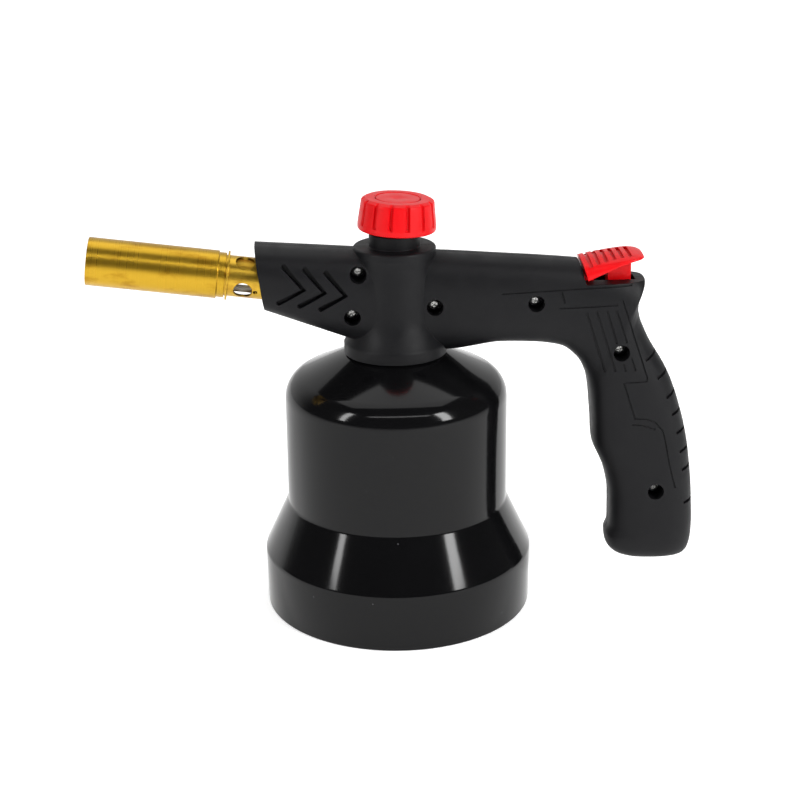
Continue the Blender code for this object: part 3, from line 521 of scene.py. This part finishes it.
SLEEVE_WALL = 0.9 * MM
NECK_DROP = 0.7 * MM
NECK_LENGTH = 3.2 * MM
TUBE_WALL = 1.2 * MM
TUBE_CLEARANCE = 0.3 * MM


def make_sleeve():
    bore = SLEEVE_RADIUS - SLEEVE_WALL
    throat = TUBE_RADIUS + TUBE_CLEARANCE
    step = SLEEVE_REAR + NECK_LENGTH
    profile = rounded([
        (bore, MOUTH, 0.15 * MM),
        (SLEEVE_RADIUS, MOUTH, 0.25 * MM),
        (SLEEVE_RADIUS, step, 0.5 * MM),
        (SLEEVE_RADIUS - NECK_DROP, step, 0.2 * MM),
        (SLEEVE_RADIUS - NECK_DROP, SLEEVE_REAR, 0.2 * MM),
        (throat, SLEEVE_REAR, 0.1 * MM),
        (throat, step + 1 * MM, 0.1 * MM),
        (bore, step + 1.5 * MM, 0.1 * MM),
    ])
    sleeve = place(turned("sleeve", profile, 128), BURNER)
    dress(finish(sleeve, LOOKS["brass"]), "brass", "torch", "burner_sleeve")


# Turns of the air holes round the tube, from the side with the screws upwards.
AIR_HOLE_TURNS = [math.radians(angle) for angle in (-28, 62, 242)]
AIR_HOLE_REACH = 67.5 * MM
AIR_HOLE_RADIUS = 4.2 * MM
PIN_HOLE_RADIUS = 1.0 * MM
PIN_HOLE_BACK = 5.5 * MM


def make_tube():
    bore = TUBE_RADIUS - TUBE_WALL
    profile = [(bore, TUBE_REAR), (TUBE_RADIUS, TUBE_REAR), (TUBE_RADIUS, TUBE_END), (bore, TUBE_END)]
    tube = place(turned("mixer", profile, 96), BURNER)
    for turn in AIR_HOLE_TURNS:
        aim = Matrix.Rotation(turn, 4, "Z") @ Matrix.Rotation(math.radians(90), 4, "Y")
        holes = ((AIR_HOLE_RADIUS, AIR_HOLE_REACH), (PIN_HOLE_RADIUS, AIR_HOLE_REACH - PIN_HOLE_BACK))
        for radius, reach in holes:
            hole = rod("hole", radius, 2 * MM, 14 * MM, 40)
            cut(tube, place(hole, BURNER @ Matrix.Translation((0, 0, reach)) @ aim))
    dress(weighted(finish(tube, LOOKS["bronze"])), "bronze", "torch", "mixer_tube")
    rim = rounded([
        (TUBE_RADIUS + TUBE_CLEARANCE, RING_REAR, 0.1 * MM),
        (RING_RADIUS, RING_REAR, 0.3 * MM),
        (RING_RADIUS, RING_FRONT, 0.3 * MM),
        (TUBE_RADIUS + TUBE_CLEARANCE, RING_FRONT, 0.1 * MM),
    ])
    ring = place(turned("snap_ring", rim, 96), BURNER)
    dress(finish(ring, LOOKS["bronze"]), "bronze", "torch", "retaining_ring")


# ---------------------------------------------------------------- knob

FLUTES = 14
FLUTE_HALF = 0.95 * MM
FLUTE_DEPTH = 1.4 * MM
FLUTE_END = 0.8 * MM
KNOB_TAPER = 1.3 * MM
SKIRT_WIDTH = 3.0 * MM
CAP_CLEARANCE = 0.3 * MM
SCREW_WELL_RADIUS = 3.4 * MM
SCREW_WELL_FLOOR = KNOB_TOP - 3.5 * MM
SCREW_BORE = 1.5 * MM
HUB_BORE = 2.9 * MM
HUB_RADIUS = 5.6 * MM
HUB_TOP = KNOB_TOP - 5 * MM
HUB_FOOT = KNOB_BOTTOM + 1 * MM
KNOB_CEILING = KNOB_TOP - 4.2 * MM
DISH_RADIUS = 6.0 * MM
DISH_DEPTH = 0.55 * MM


def groove(turn, radius, height):
    """Radius that the knob's narrow finger grooves take away."""
    low = KNOB_BOTTOM + 2.6 * MM
    high = KNOB_TOP - 0.3 * MM
    if radius < KNOB_RADIUS - SKIRT_WIDTH or not low < height < high:
        return 0
    across = (turn * FLUTES / (2 * math.pi) + 0.5) % 1 - 0.5
    offset = across * 2 * math.pi * radius / FLUTES
    if abs(offset) >= FLUTE_HALF:
        return 0
    ends = min(1, (height - low) / FLUTE_END, (high - height) / FLUTE_END)
    return FLUTE_DEPTH * math.sqrt(1 - (offset / FLUTE_HALF) ** 2) * math.sqrt(ends)


def make_knob():
    top_radius = KNOB_RADIUS - KNOB_TAPER
    seat = CAP_RADIUS + CAP_CLEARANCE
    skirt = rounded(
        [
            (KNOB_RADIUS - SKIRT_WIDTH, KNOB_BOTTOM, 0),
            (KNOB_RADIUS, KNOB_BOTTOM, 0.9 * MM),
            (KNOB_RADIUS, KNOB_BOTTOM + 2.4 * MM, 3 * MM),
            (top_radius, KNOB_TOP - 0.9 * MM, 0.8 * MM),
            (top_radius - 1.9 * MM, KNOB_TOP, 0.9 * MM),
            (seat + 0.5 * MM, KNOB_TOP, 0.3 * MM),
            (seat, KNOB_TOP - 0.5 * MM, 0.2 * MM),
            (seat, CAP_BOTTOM - CAP_CLEARANCE, 0),
            (SCREW_WELL_RADIUS, CAP_BOTTOM - CAP_CLEARANCE, 0),
            (SCREW_WELL_RADIUS, SCREW_WELL_FLOOR, 0),
            (SCREW_BORE, SCREW_WELL_FLOOR, 0),
            (SCREW_BORE, HUB_TOP, 0),
            (HUB_BORE, HUB_TOP, 0),
            (HUB_BORE, HUB_FOOT, 0),
            (HUB_RADIUS, HUB_FOOT, 0),
            (HUB_RADIUS, KNOB_CEILING, 0),
            (top_radius - 2.6 * MM, KNOB_CEILING, 0),
        ],
    )
    dense = []
    for (radius, height), (next_radius, next_height) in zip(skirt, skirt[1:]):
        dense.append((radius, height))
        side = min(radius, next_radius) > KNOB_RADIUS - 2 * MM
        steps = max(1, math.ceil(abs(next_height - height) / (0.25 * MM))) if side else 1
        for k in range(1, steps):
            share = k / steps
            dense.append((radius + (next_radius - radius) * share, height + (next_height - height) * share))
    dense.append(skirt[-1])
    knob = place(turned("knob", dense, FLUTES * 30, groove), SPINDLE)
    dress(finish(knob, LOOKS["red"], 40), "red", "control_knob", "control_knob")
    edge = [(CAP_RADIUS, CAP_BOTTOM, 0), (CAP_RADIUS, CAP_TOP, 0.35 * MM), (5 * MM, CAP_TOP, 0)]
    cap = [(0, CAP_BOTTOM), (CAP_RADIUS, CAP_BOTTOM), *rounded(edge, False)[1:-1]]
    for k in range(13):
        share = 1 - k / 12
        dish = DISH_DEPTH * (0.5 + 0.5 * math.cos(math.pi * share))
        cap.append((DISH_RADIUS * share, CAP_TOP - dish))
    lid = place(turned("knob_lid", cap, 96), SPINDLE)
    dress(finish(lid, LOOKS["red"]), "red", "control_knob", "knob_cap")


# ---------------------------------------------------------------- housing

WALL = 2.2 * MM
PARTING = 0.12 * MM
SECTION_POWER = 2.8
COLLAR_RADIUS = 23.2 * MM
COLLAR_BOTTOM = BELL_TOP + 0.5 * MM
COLLAR_RIM = COLLAR_BOTTOM + 4.5 * MM
COLUMN_RADIUS = 17.7 * MM
DISC_RADIUS = 18.4 * MM
DISC_TOP = 169.1 * MM
BOSS_RADIUS = 11.3 * MM
BOSS_TOP = 175.2 * MM
THROUGH = 30 * MM  # past both sides of the housing

# Cross-sections in the side view, in millimetres: top or back point, underside or front point, half width.
FRONT_SHELL = [
    ((-61.7, 171.4), (-58.0, 142.2), 14.4),
    ((-45.0, 170.2), (-42.5, 136.3), 14.9),
    ((-27.0, 168.9), (-25.5, 129.8), 15.2),
    ((-12.0, 167.8), (-12.0, 124.6), 15.2),
    ((2.0, 166.8), (2.0, 121.0), 15.0),
]
HANDLE = [
    ((-2.0, 167.0), (-2.0, 121.0), 13.2),
    ((19.0, 166.0), (23.0, 121.2), 13.2),
    ((47.0, 163.8), (47.0, 124.2), 13.2),
    ((62.0, 162.6), (62.0, 123.7), 13.3),
    ((76.0, 161.3), (74.5, 121.6), 13.4),
    ((88.0, 160.0), (80.2, 117.6), 13.6),
    ((98.0, 158.6), (83.2, 114.2), 13.8),
    ((111.9, 151.6), (86.8, 106.4), 14.1),
    ((110.6, 147.5), (87.6, 102.6), 14.2),
    ((109.4, 143.0), (88.2, 98.8), 14.3),
    ((109.2, 139.0), (88.6, 95.2), 14.3),
    ((110.0, 134.5), (88.9, 91.4), 14.4),
    ((114.3, 124.2), (89.5, 85.0), 14.5),
    ((122.9, 109.6), (89.9, 77.6), 14.5),
    ((127.0, 100.2), (90.6, 73.2), 14.5),
    ((132.6, 81.6), (94.1, 65.2), 14.5),
    ((134.5, 72.2), (95.9, 60.8), 14.5),
    ((137.1, 51.0), (98.6, 47.6), 14.5),
    ((138.1, 33.4), (98.9, 33.2), 14.5),
    ((137.9, 26.8), (97.4, 28.0), 14.3),
    ((137.0, 21.4), (98.0, 23.2), 13.4),
    ((135.0, 18.2), (100.6, 19.6), 11.6),
    ((132.0, 17.0), (104.4, 17.7), 9.4),
]


def smoothed(rungs, steps):
    """The rungs of a ladder with smooth steps between them that never overshoot."""
    values = np.array([[*far, *near, half] for far, near, half in rungs])
    rise = np.diff(values, axis=0)
    before, after = rise[:-1], rise[1:]
    both = np.where(before * after > 0, before + after, 1.0)
    middle = np.where(before * after > 0, 2 * before * after / both, 0.0)
    slope = np.vstack([rise[:1], middle, rise[-1:]])
    rows = []
    for k in range(len(values) - 1):
        for t in np.arange(steps) / steps:
            rows.append(
                values[k] * (1 + 2 * t) * (1 - t) ** 2
                + slope[k] * t * (1 - t) ** 2
                + values[k + 1] * t * t * (3 - 2 * t)
                - slope[k + 1] * t * t * (1 - t)
            )
    rows.append(values[-1])
    return [((row[0], row[1]), (row[2], row[3]), row[4]) for row in rows]


def cross_section(far, near, half_width, inset, points):
    """Superellipse whose long axis runs from the near point to the far point of the side view."""
    far = Vector((far[0], 0, far[1])) * MM
    near = Vector((near[0], 0, near[1])) * MM
    middle = (far + near) / 2
    reach = (far - near) / 2
    reach *= 1 - inset / reach.length
    wide = half_width * MM - inset
    ring = []
    for k in range(points):
        turn = 2 * math.pi * k / points
        across = math.copysign(abs(math.cos(turn)) ** (2 / SECTION_POWER), math.cos(turn))
        along = math.copysign(abs(math.sin(turn)) ** (2 / SECTION_POWER), math.sin(turn))
        ring.append(middle + along * reach + Vector((0, across * wide, 0)))
    return ring


def shell_body(name, ladder, inset, steps, points, first=0.0, last=0.0):
    """Smooth loft of a ladder; a hollow's ends are moved along the ladder by first and last."""
    rings = [cross_section(*rung, inset, points) for rung in smoothed(ladder, steps)]
    start = (rings[0][0] - rings[1][0]).normalized()
    end = (rings[-1][0] - rings[-2][0]).normalized()
    rings[0] = [point + start * first for point in rings[0]]
    rings[-1] = [point + end * last for point in rings[-1]]
    return lofted(name, rings)


def column_side(inset, steps):
    """Side of the column, from the collar's rim up."""
    side = [(COLLAR_RADIUS - inset, COLLAR_BOTTOM), (COLLAR_RADIUS - inset, COLLAR_RIM)]
    for k in range(1, steps + 1):
        fall = k / steps
        radius = COLUMN_RADIUS + (COLLAR_RADIUS - COLUMN_RADIUS) * (1 - fall) ** 2
        side.append((radius - inset, COLLAR_RIM + fall * 15 * MM))
    return side


def column_outside():
    top = rounded(
        [
            (COLUMN_RADIUS, 150 * MM, 0),
            (COLUMN_RADIUS, DISC_TOP - 7 * MM, 12 * MM),
            (DISC_RADIUS, DISC_TOP - 3.2 * MM, 3 * MM),
            (DISC_RADIUS, DISC_TOP, 0.9 * MM),
            (BOSS_RADIUS, DISC_TOP, 0.4 * MM),
            (BOSS_RADIUS, BOSS_TOP, 0.5 * MM),
            (0, BOSS_TOP, 0),
        ],
        closed=False,
    )
    return turned("column", [(0, COLLAR_BOTTOM), *column_side(0, 16), *top], 144)


def column_hollow():
    base = column_side(WALL, 6)
    base[0] = (base[0][0], COLLAR_BOTTOM - 2 * MM)
    top = [(COLUMN_RADIUS - WALL, DISC_TOP - WALL), (0, DISC_TOP - WALL)]
    return turned("hollow", [(0, COLLAR_BOTTOM - 2 * MM), *base, *top], 48)


def bay(name, grow):
    """Open space round the button: everything above the ledge and behind the step in the beam."""
    outline = rounded([(81.6, 180, 0), (81.6, 162.1, 2), (84.2, 151.7, 1.2), (130, 151.7, 0), (130, 180, 0)])
    return slab(name, [(x * MM - grow, z * MM - grow * (z < 160)) for x, z in outline], -THROUGH, THROUGH)


CHEVRON_TIP = (-39.2, 153.8)
CHEVRON_ARMS = [(-8.3, 10.3), (-11.0, -5.8)]
CHEVRON_STEP = (9.1, -1.55)
CHEVRON_WIDTH = 2.3 * MM
CHEVRON_FLOOR = 11.4 * MM


def chevron(index, low, high):
    """One arrow mark with round ends, as a bar from y = low to y = high."""
    x = CHEVRON_TIP[0] + index * CHEVRON_STEP[0] - 1.4
    z = CHEVRON_TIP[1] + index * CHEVRON_STEP[1]
    upper, lower = CHEVRON_ARMS
    path = [(x + upper[0], z + upper[1]), (x, z), (x + lower[0], z + lower[1])]
    bar = stroke("chevron", path, CHEVRON_WIDTH, low, high)
    for end in (path[0], path[-1]):
        join(bar, cross_rod("end", CHEVRON_WIDTH / 2, end[0] * MM, end[1] * MM, low, high, 24))
    return bar


# Fine grooves in the sides of the grip, in millimetres of the side view: width, then the path.
SIDE_GROOVES = [
    (0.7, [(72.2, 141.8), (98.1, 142.6)]),
    (0.7, [(73.1, 149.3), (74.6, 144.2)]),
    (0.9, [(84.4, 139.4), (93.4, 111.5)]),
    (0.9, [(88.8, 139.9), (97.9, 111.8)]),
    (0.9, [(93.4, 139.9), (98.2, 124.8)]),
    (0.9, [(101.4, 115.0), (102.5, 111.8)]),
    (0.9, [(97.7, 140.1), (102.7, 125.0)]),
    (0.9, [(105.0, 117.6), (107.0, 111.7)]),
    (0.7, [(100.3, 144.7), (112.6, 108.0), (112.5, 106.4), (101.9, 106.2), (107.5, 88.8), (112.6, 88.6)]),
    (
        0.7,
        [
            (112.6, 88.6), (116.9, 86.8), (120.6, 82.2), (122.1, 76.3),
            (123.8, 67.6), (126.1, 58.5), (127.6, 53.9),
        ],
    ),
    (0.6, [(46.7, 149.1), (78.5, 150.3), (104.9, 150.9)]),
    (0.7, [(106.1, 86.1), (111.0, 85.6), (117.0, 83.4)]),
]
SIDE_GROOVE_DEPTH = 0.45 * MM

# Notches between the ribs of the grip's back, from its top down.
BACK_NOTCHES = [
    (117.3, 118.4),
    (123.1, 109.5),
    (127.6, 100.0),
    (130.9, 90.8),
    (133.2, 81.7),
    (135.1, 72.5),
    (136.5, 63.5),
    (138.2, 46.3),
]
NOTCH_WIDTH = 1.4
NOTCH_LENGTH = 6.0
NOTCH_DEPTH = 1.2 * MM


def grooves(paths, depth, name):
    """Grooves of an even depth: bars through the grip, less the grip's shape shrunk by that depth."""
    tools = []
    for width, path in paths:
        bar = stroke(name, path, width * MM, -THROUGH, THROUGH)
        tools.append(cut(bar, shell_body("core", HANDLE, depth, 5, 72, last=-depth)))
    return tools


def notch_paths():
    paths = []
    for x, z in BACK_NOTCHES:
        lean = math.radians(24 if z > 95 else 14 if z > 60 else 6)
        inner = (x - NOTCH_LENGTH * math.cos(lean), z - NOTCH_LENGTH * math.sin(lean))
        outer = (x + 3 * math.cos(lean), z + 3 * math.sin(lean))
        paths.append((NOTCH_WIDTH, [outer, inner]))
    return paths


PILLAR_RADIUS = 3.9 * MM
CUP_RADIUS = 5.2 * MM


def inner_supports():
    """Pillars and cups for the screws, the wall behind the arrow marks and the cradle for the tube."""
    parts = []
    for name in SCREWS:
        x, z = screw_place(name)
        parts.append(cross_rod("pillar", PILLAR_RADIUS, x, z, -21 * MM, 21 * MM, 32))
        parts.append(cross_rod("cup", CUP_RADIUS, x, z, -20 * MM, -SCREW_TOP + 2.7 * MM, 32))
    for side in (-1, 1):
        low, high = sorted((side * (CHEVRON_FLOOR - 1 * MM), side * 20 * MM))
        parts.append(box("backing", (-53 * MM, low, 140 * MM), (-19 * MM, high, 168 * MM)))
    cradle = box("cradle", (-57 * MM, -20 * MM, 125 * MM), (-55.2 * MM, 20 * MM, 175 * MM))
    bore = place(rod("bore", TUBE_RADIUS + TUBE_CLEARANCE, 20 * MM, 100 * MM, 64), BURNER)
    parts.append(cut(cradle, bore))
    return parts


SLOT_HALF = 4.1 * MM
SLOT_LENGTH = 24.3 * MM
SLOT_AHEAD = 3.3 * MM
STEM_CLEARANCE = 0.9 * MM
RECESS_CLEARANCE = 1.1 * MM
SCREW_HOLE_RADIUS = 1.6 * MM
SCREW_HOLE_END = 11.2 * MM


def make_housing():
    outside = shell_body("outside", HANDLE, 0, 8, 144)
    join(outside, shell_body("front", FRONT_SHELL, 0, 8, 144), column_outside())
    hollow = shell_body("hollow", HANDLE, WALL, 2, 48, last=-2.4 * MM)
    front_hollow = shell_body("front_hollow", FRONT_SHELL, WALL, 2, 96, first=3 * MM)
    join(hollow, front_hollow, column_hollow())
    cut(hollow, bay("bay", WALL))
    cut(hollow, *inner_supports())
    body = cut(outside, hollow)
    cut(body, bay("bay", 0))
    for index in range(3):
        cut(body, chevron(index, -25 * MM, -CHEVRON_FLOOR), chevron(index, CHEVRON_FLOOR, 25 * MM))
    slot_low = BUTTON_PIVOT.x - SLOT_AHEAD
    cut(body, box("slot", (slot_low, -SLOT_HALF, 140 * MM), (slot_low + SLOT_LENGTH, SLOT_HALF, 160 * MM)))
    cut(body, place(rod("stem_hole", SPINDLE_RADIUS + STEM_CLEARANCE, 5 * MM, 30 * MM), SPINDLE))
    cut(body, *grooves(SIDE_GROOVES, SIDE_GROOVE_DEPTH, "groove"))
    cut(body, *grooves(notch_paths(), NOTCH_DEPTH, "notch"))
    for name in SCREWS:
        x, z = screw_place(name)
        seat = -SCREW_TOP + SCREW_HEAD_HEIGHT
        cut(body, cross_rod("recess", SCREW_HEAD_RADIUS + RECESS_CLEARANCE, x, z, -THROUGH, seat))
        cut(body, cross_rod("hole", SCREW_HOLE_RADIUS, x, z, seat - 1 * MM, SCREW_HOLE_END, 24))
    for side, low, high in (("left", -40 * MM, -PARTING), ("right", PARTING, 40 * MM)):
        half = body.copy()
        half.data = body.data.copy()
        bpy.context.scene.collection.objects.link(half)
        half.name = f"shell_{side}"
        keep = box("keep", (-200 * MM, low, 0), (200 * MM, high, 250 * MM))
        combine(half, [keep], "INTERSECT")
        dress(weighted(finish(half, LOOKS["black_plastic"], 38)), "black_plastic", "torch", f"housing_{side}")
    bpy.data.objects.remove(body, do_unlink=True)


CROSS_REACH = 1.5 * MM
CROSS_HALF_WIDTH = 0.3 * MM
CROSS_DEPTH = 1.1 * MM


def make_screws():
    """Pan-head screws with a cross recess."""
    for index, name in enumerate(SCREWS):
        x, z = screw_place(name)
        tip = -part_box(name)[1].y
        head = SCREW_TOP - SCREW_HEAD_HEIGHT
        profile = rounded(
            [
                (0, tip, 0),
                (SCREW_SHANK_RADIUS, tip + 0.6 * MM, 0),
                (SCREW_SHANK_RADIUS, head, 0),
                (SCREW_HEAD_RADIUS, head, 0.2 * MM),
                (SCREW_HEAD_RADIUS, head + 1.2 * MM, 0.6 * MM),
                (SCREW_HEAD_RADIUS * 0.55, SCREW_TOP, 0.8 * MM),
                (0, SCREW_TOP, 0),
            ],
            closed=False,
        )
        screw = turned(f"shell_screw_{index + 1}", profile, 48)
        for turn in (0, 90):
            low = (-CROSS_REACH, -CROSS_HALF_WIDTH, SCREW_TOP - CROSS_DEPTH)
            high = (CROSS_REACH, CROSS_HALF_WIDTH, SCREW_TOP + 1 * MM)
            arm = box("arm", low, high)
            cut(screw, place(arm, Matrix.Rotation(math.radians(turn + 25 * index), 4, "Z")))
        lie = Matrix.Translation((x, 0, z)) @ Matrix.Rotation(math.radians(90), 4, "X")
        place(screw, lie)
        dress(weighted(finish(screw, LOOKS["zinc"])), "zinc", "torch", name)


# ---------------------------------------------------------------- ignition button

# Thumb pad, in millimetres: place along the handle, ridge height, edge height, half width, backward lean.
PAD = [
    (82.5, 161.9, 153.8, 12.7, 0.30),
    (88.0, 162.9, 155.8, 12.8, 0.20),
    (94.0, 163.6, 158.0, 12.7, 0.10),
    (100.0, 164.0, 160.3, 12.4, 0.0),
    (105.0, 164.2, 161.7, 11.6, 0.0),
    (108.6, 163.9, 162.2, 9.8, 0.0),
    (110.4, 163.4, 162.3, 7.0, 0.0),
]
PAD_GROOVES = 6
PAD_GROOVE_START = 85.6
PAD_GROOVE_PITCH = 3.75
PAD_GROOVE_DEPTH = 1.5
PAD_GROOVE_LEAN = math.radians(-14)
STEM_FRONT = 95 * MM
STEM_BACK = 105.4 * MM
STEM_HALF = 3.6 * MM
NOSE_X = 100 * MM
NOSE_Z = 146.5 * MM
NOSE_HALF = 1.4 * MM
LUG_HALF = 2.4 * MM
EYE_RADIUS = 2.5 * MM
EYE_BORE = 1.3 * MM


def pad_body(name, drop, narrow, points=72):
    rungs = [((x, ridge), (edge, half), lean) for x, ridge, edge, half, lean in PAD]
    rings = []
    for (x, ridge), (edge, half), lean in smoothed(rungs, 8):
        ring = []
        for k in range(points + 1):
            turn = math.pi * k / points
            z = edge + (ridge - edge) * math.sin(turn) ** 0.7
            ring.append(Vector((x + (ridge - z) * lean, (half - narrow) * math.cos(turn), z - drop)) * MM)
        rings.append(ring)
    return lofted(name, rings)


def make_button():
    pad = pad_body("button", 0, 0)
    for k in range(PAD_GROOVES):
        x = PAD_GROOVE_START + PAD_GROOVE_PITCH * k
        half = 11.0 - 0.45 * k
        groove_box = box("rib", (-0.85 * MM, -half * MM, -12 * MM), (0.85 * MM, half * MM, 8 * MM))
        lie = Matrix.Translation((x * MM, 0, 162 * MM)) @ Matrix.Rotation(PAD_GROOVE_LEAN, 4, "Y")
        place(groove_box, lie)
        cut(groove_box, pad_body("floor", PAD_GROOVE_DEPTH, -1.0, 24))
        cut(pad, groove_box)
    pivot = BUTTON_PIVOT
    stem = box("stem", (STEM_FRONT, -STEM_HALF, 147.4 * MM), (STEM_BACK, STEM_HALF, 162 * MM))
    nose = cross_rod("nose", 1.5 * MM, NOSE_X, NOSE_Z, -3 * MM, 3 * MM, 32)
    neck = box("neck", (NOSE_X - NOSE_HALF, -2.9 * MM, NOSE_Z), (NOSE_X + NOSE_HALF, 2.9 * MM, 149 * MM))
    lug = box("lug", (pivot.x - LUG_HALF, -3.4 * MM, pivot.z), (pivot.x + LUG_HALF, 3.4 * MM, 158 * MM))
    eye = cross_rod("eye", EYE_RADIUS, pivot.x, pivot.z, -3.5 * MM, 3.5 * MM, 40)
    join(pad, stem, nose, neck, lug, eye)
    cut(pad, cross_rod("hole", EYE_BORE, pivot.x, pivot.z, -6 * MM, 6 * MM, 32))
    dress(weighted(finish(pad, LOOKS["red"], 40)), "red", "ignition_button", "ignition_button")


# ---------------------------------------------------------------- studio


def make_floor():
    bm = bmesh.new()
    bmesh.ops.create_grid(bm, x_segments=24, y_segments=24, size=8.0)
    floor = from_bmesh("floor", bm)
    look = Look("floor_look")
    look.set(Specular_IOR_Level=0.1)
    mottle = look.noise(0.2, 3)
    look.join(look.mixed(mottle, (0.93, 0.93, 0.93), (0.96, 0.96, 0.96)), "Base Color")
    look.join(look.steps(mottle, 0.3, 0.7, 0.8, 0.9), "Roughness")
    across = look.add("ShaderNodeSeparateXYZ", None, {0: look.place})
    look.set(Emission_Color=(1.0, 1.0, 1.0, 1.0))
    look.join(look.steps(across.outputs["Y"], 0.2, 2.2, 0.5, 0.9), "Emission Strength")
    floor.data.materials.append(look.material)


def make_world():
    """White surroundings behind and beside the torch, and a dim room on the camera's side."""
    world = bpy.data.worlds.new("studio")
    bpy.context.scene.world = world
    world.use_nodes = True
    nodes, links = world.node_tree.nodes, world.node_tree.links
    place_node = nodes.new("ShaderNodeTexCoord")
    split = nodes.new("ShaderNodeSeparateXYZ")
    links.new(place_node.outputs["Generated"], split.inputs[0])
    ramp = nodes.new("ShaderNodeMapRange")
    ramp.interpolation_type = "SMOOTHSTEP"
    ramp.inputs["From Min"].default_value = 0.2
    ramp.inputs["From Max"].default_value = 0.75
    ramp.inputs["To Min"].default_value = 0.08
    ramp.inputs["To Max"].default_value = 0.8
    links.new(split.outputs["Y"], ramp.inputs["Value"])
    links.new(ramp.outputs["Result"], nodes["Background"].inputs["Strength"])
    nodes["Background"].inputs["Color"].default_value = (1.0, 1.0, 1.0, 1.0)


def softbox(name, azimuth, elevation, distance, size, power):
    """Area light aimed at the torch; azimuth is from the camera's side, positive to the handle's side."""
    data = bpy.data.lights.new(name, "AREA")
    data.shape = "RECTANGLE"
    data.size, data.size_y = size
    data.energy = power
    light = bpy.data.objects.new(name, data)
    bpy.context.scene.collection.objects.link(light)
    turn = math.radians(azimuth)
    rise = math.radians(elevation)
    target = Vector((0.0, 0.0, 0.1))
    aim = Vector((math.sin(turn) * math.cos(rise), -math.cos(turn) * math.cos(rise), math.sin(rise)))
    offset = aim * distance
    light.location = target + offset
    light.rotation_euler = (-offset).to_track_quat("-Z", "Y").to_euler()
    return light


def make_lights():
    softbox("left_box", -59, 27, 1.5, (0.16, 0.85), 9)
    softbox("right_box", 49, 27, 1.5, (0.26, 0.85), 17)
    softbox("front_strip", 0, 47, 1.5, (1.5, 0.10), 3)
    softbox("overhead", 180, 76, 1.3, (1.5, 0.9), 7)


def make_camera():
    """A little above the torch, on the side with the screws, turned slightly to the nozzle."""
    height = 0.3743
    distance = 0.7609
    heading = math.radians(3.0)
    pitch = math.radians(20.08)
    pan = math.radians(0.13)
    roll = math.radians(-0.658)
    data = bpy.data.cameras.new("camera")
    data.sensor_width = 36.0
    data.lens = 79.87
    camera = bpy.data.objects.new("camera", data)
    bpy.context.scene.collection.objects.link(camera)
    camera.location = (-distance * math.sin(heading), -distance * math.cos(heading), height)
    turn = -(heading + pan)
    camera.matrix_world = (
        Matrix.Translation(camera.location)
        @ Matrix.Rotation(turn, 4, "Z")
        @ Matrix.Rotation(math.pi / 2 - pitch, 4, "X")
        @ Matrix.Rotation(roll, 4, "Z")
    )
    bpy.context.scene.camera = camera


bpy.context.scene.view_settings.view_transform = "Standard"
make_camera()
make_floor()
make_world()
make_lights()
dress_frame()
make_bell()
make_sleeve()
make_tube()
make_knob()
make_housing()
make_screws()
make_button()
make_spring()
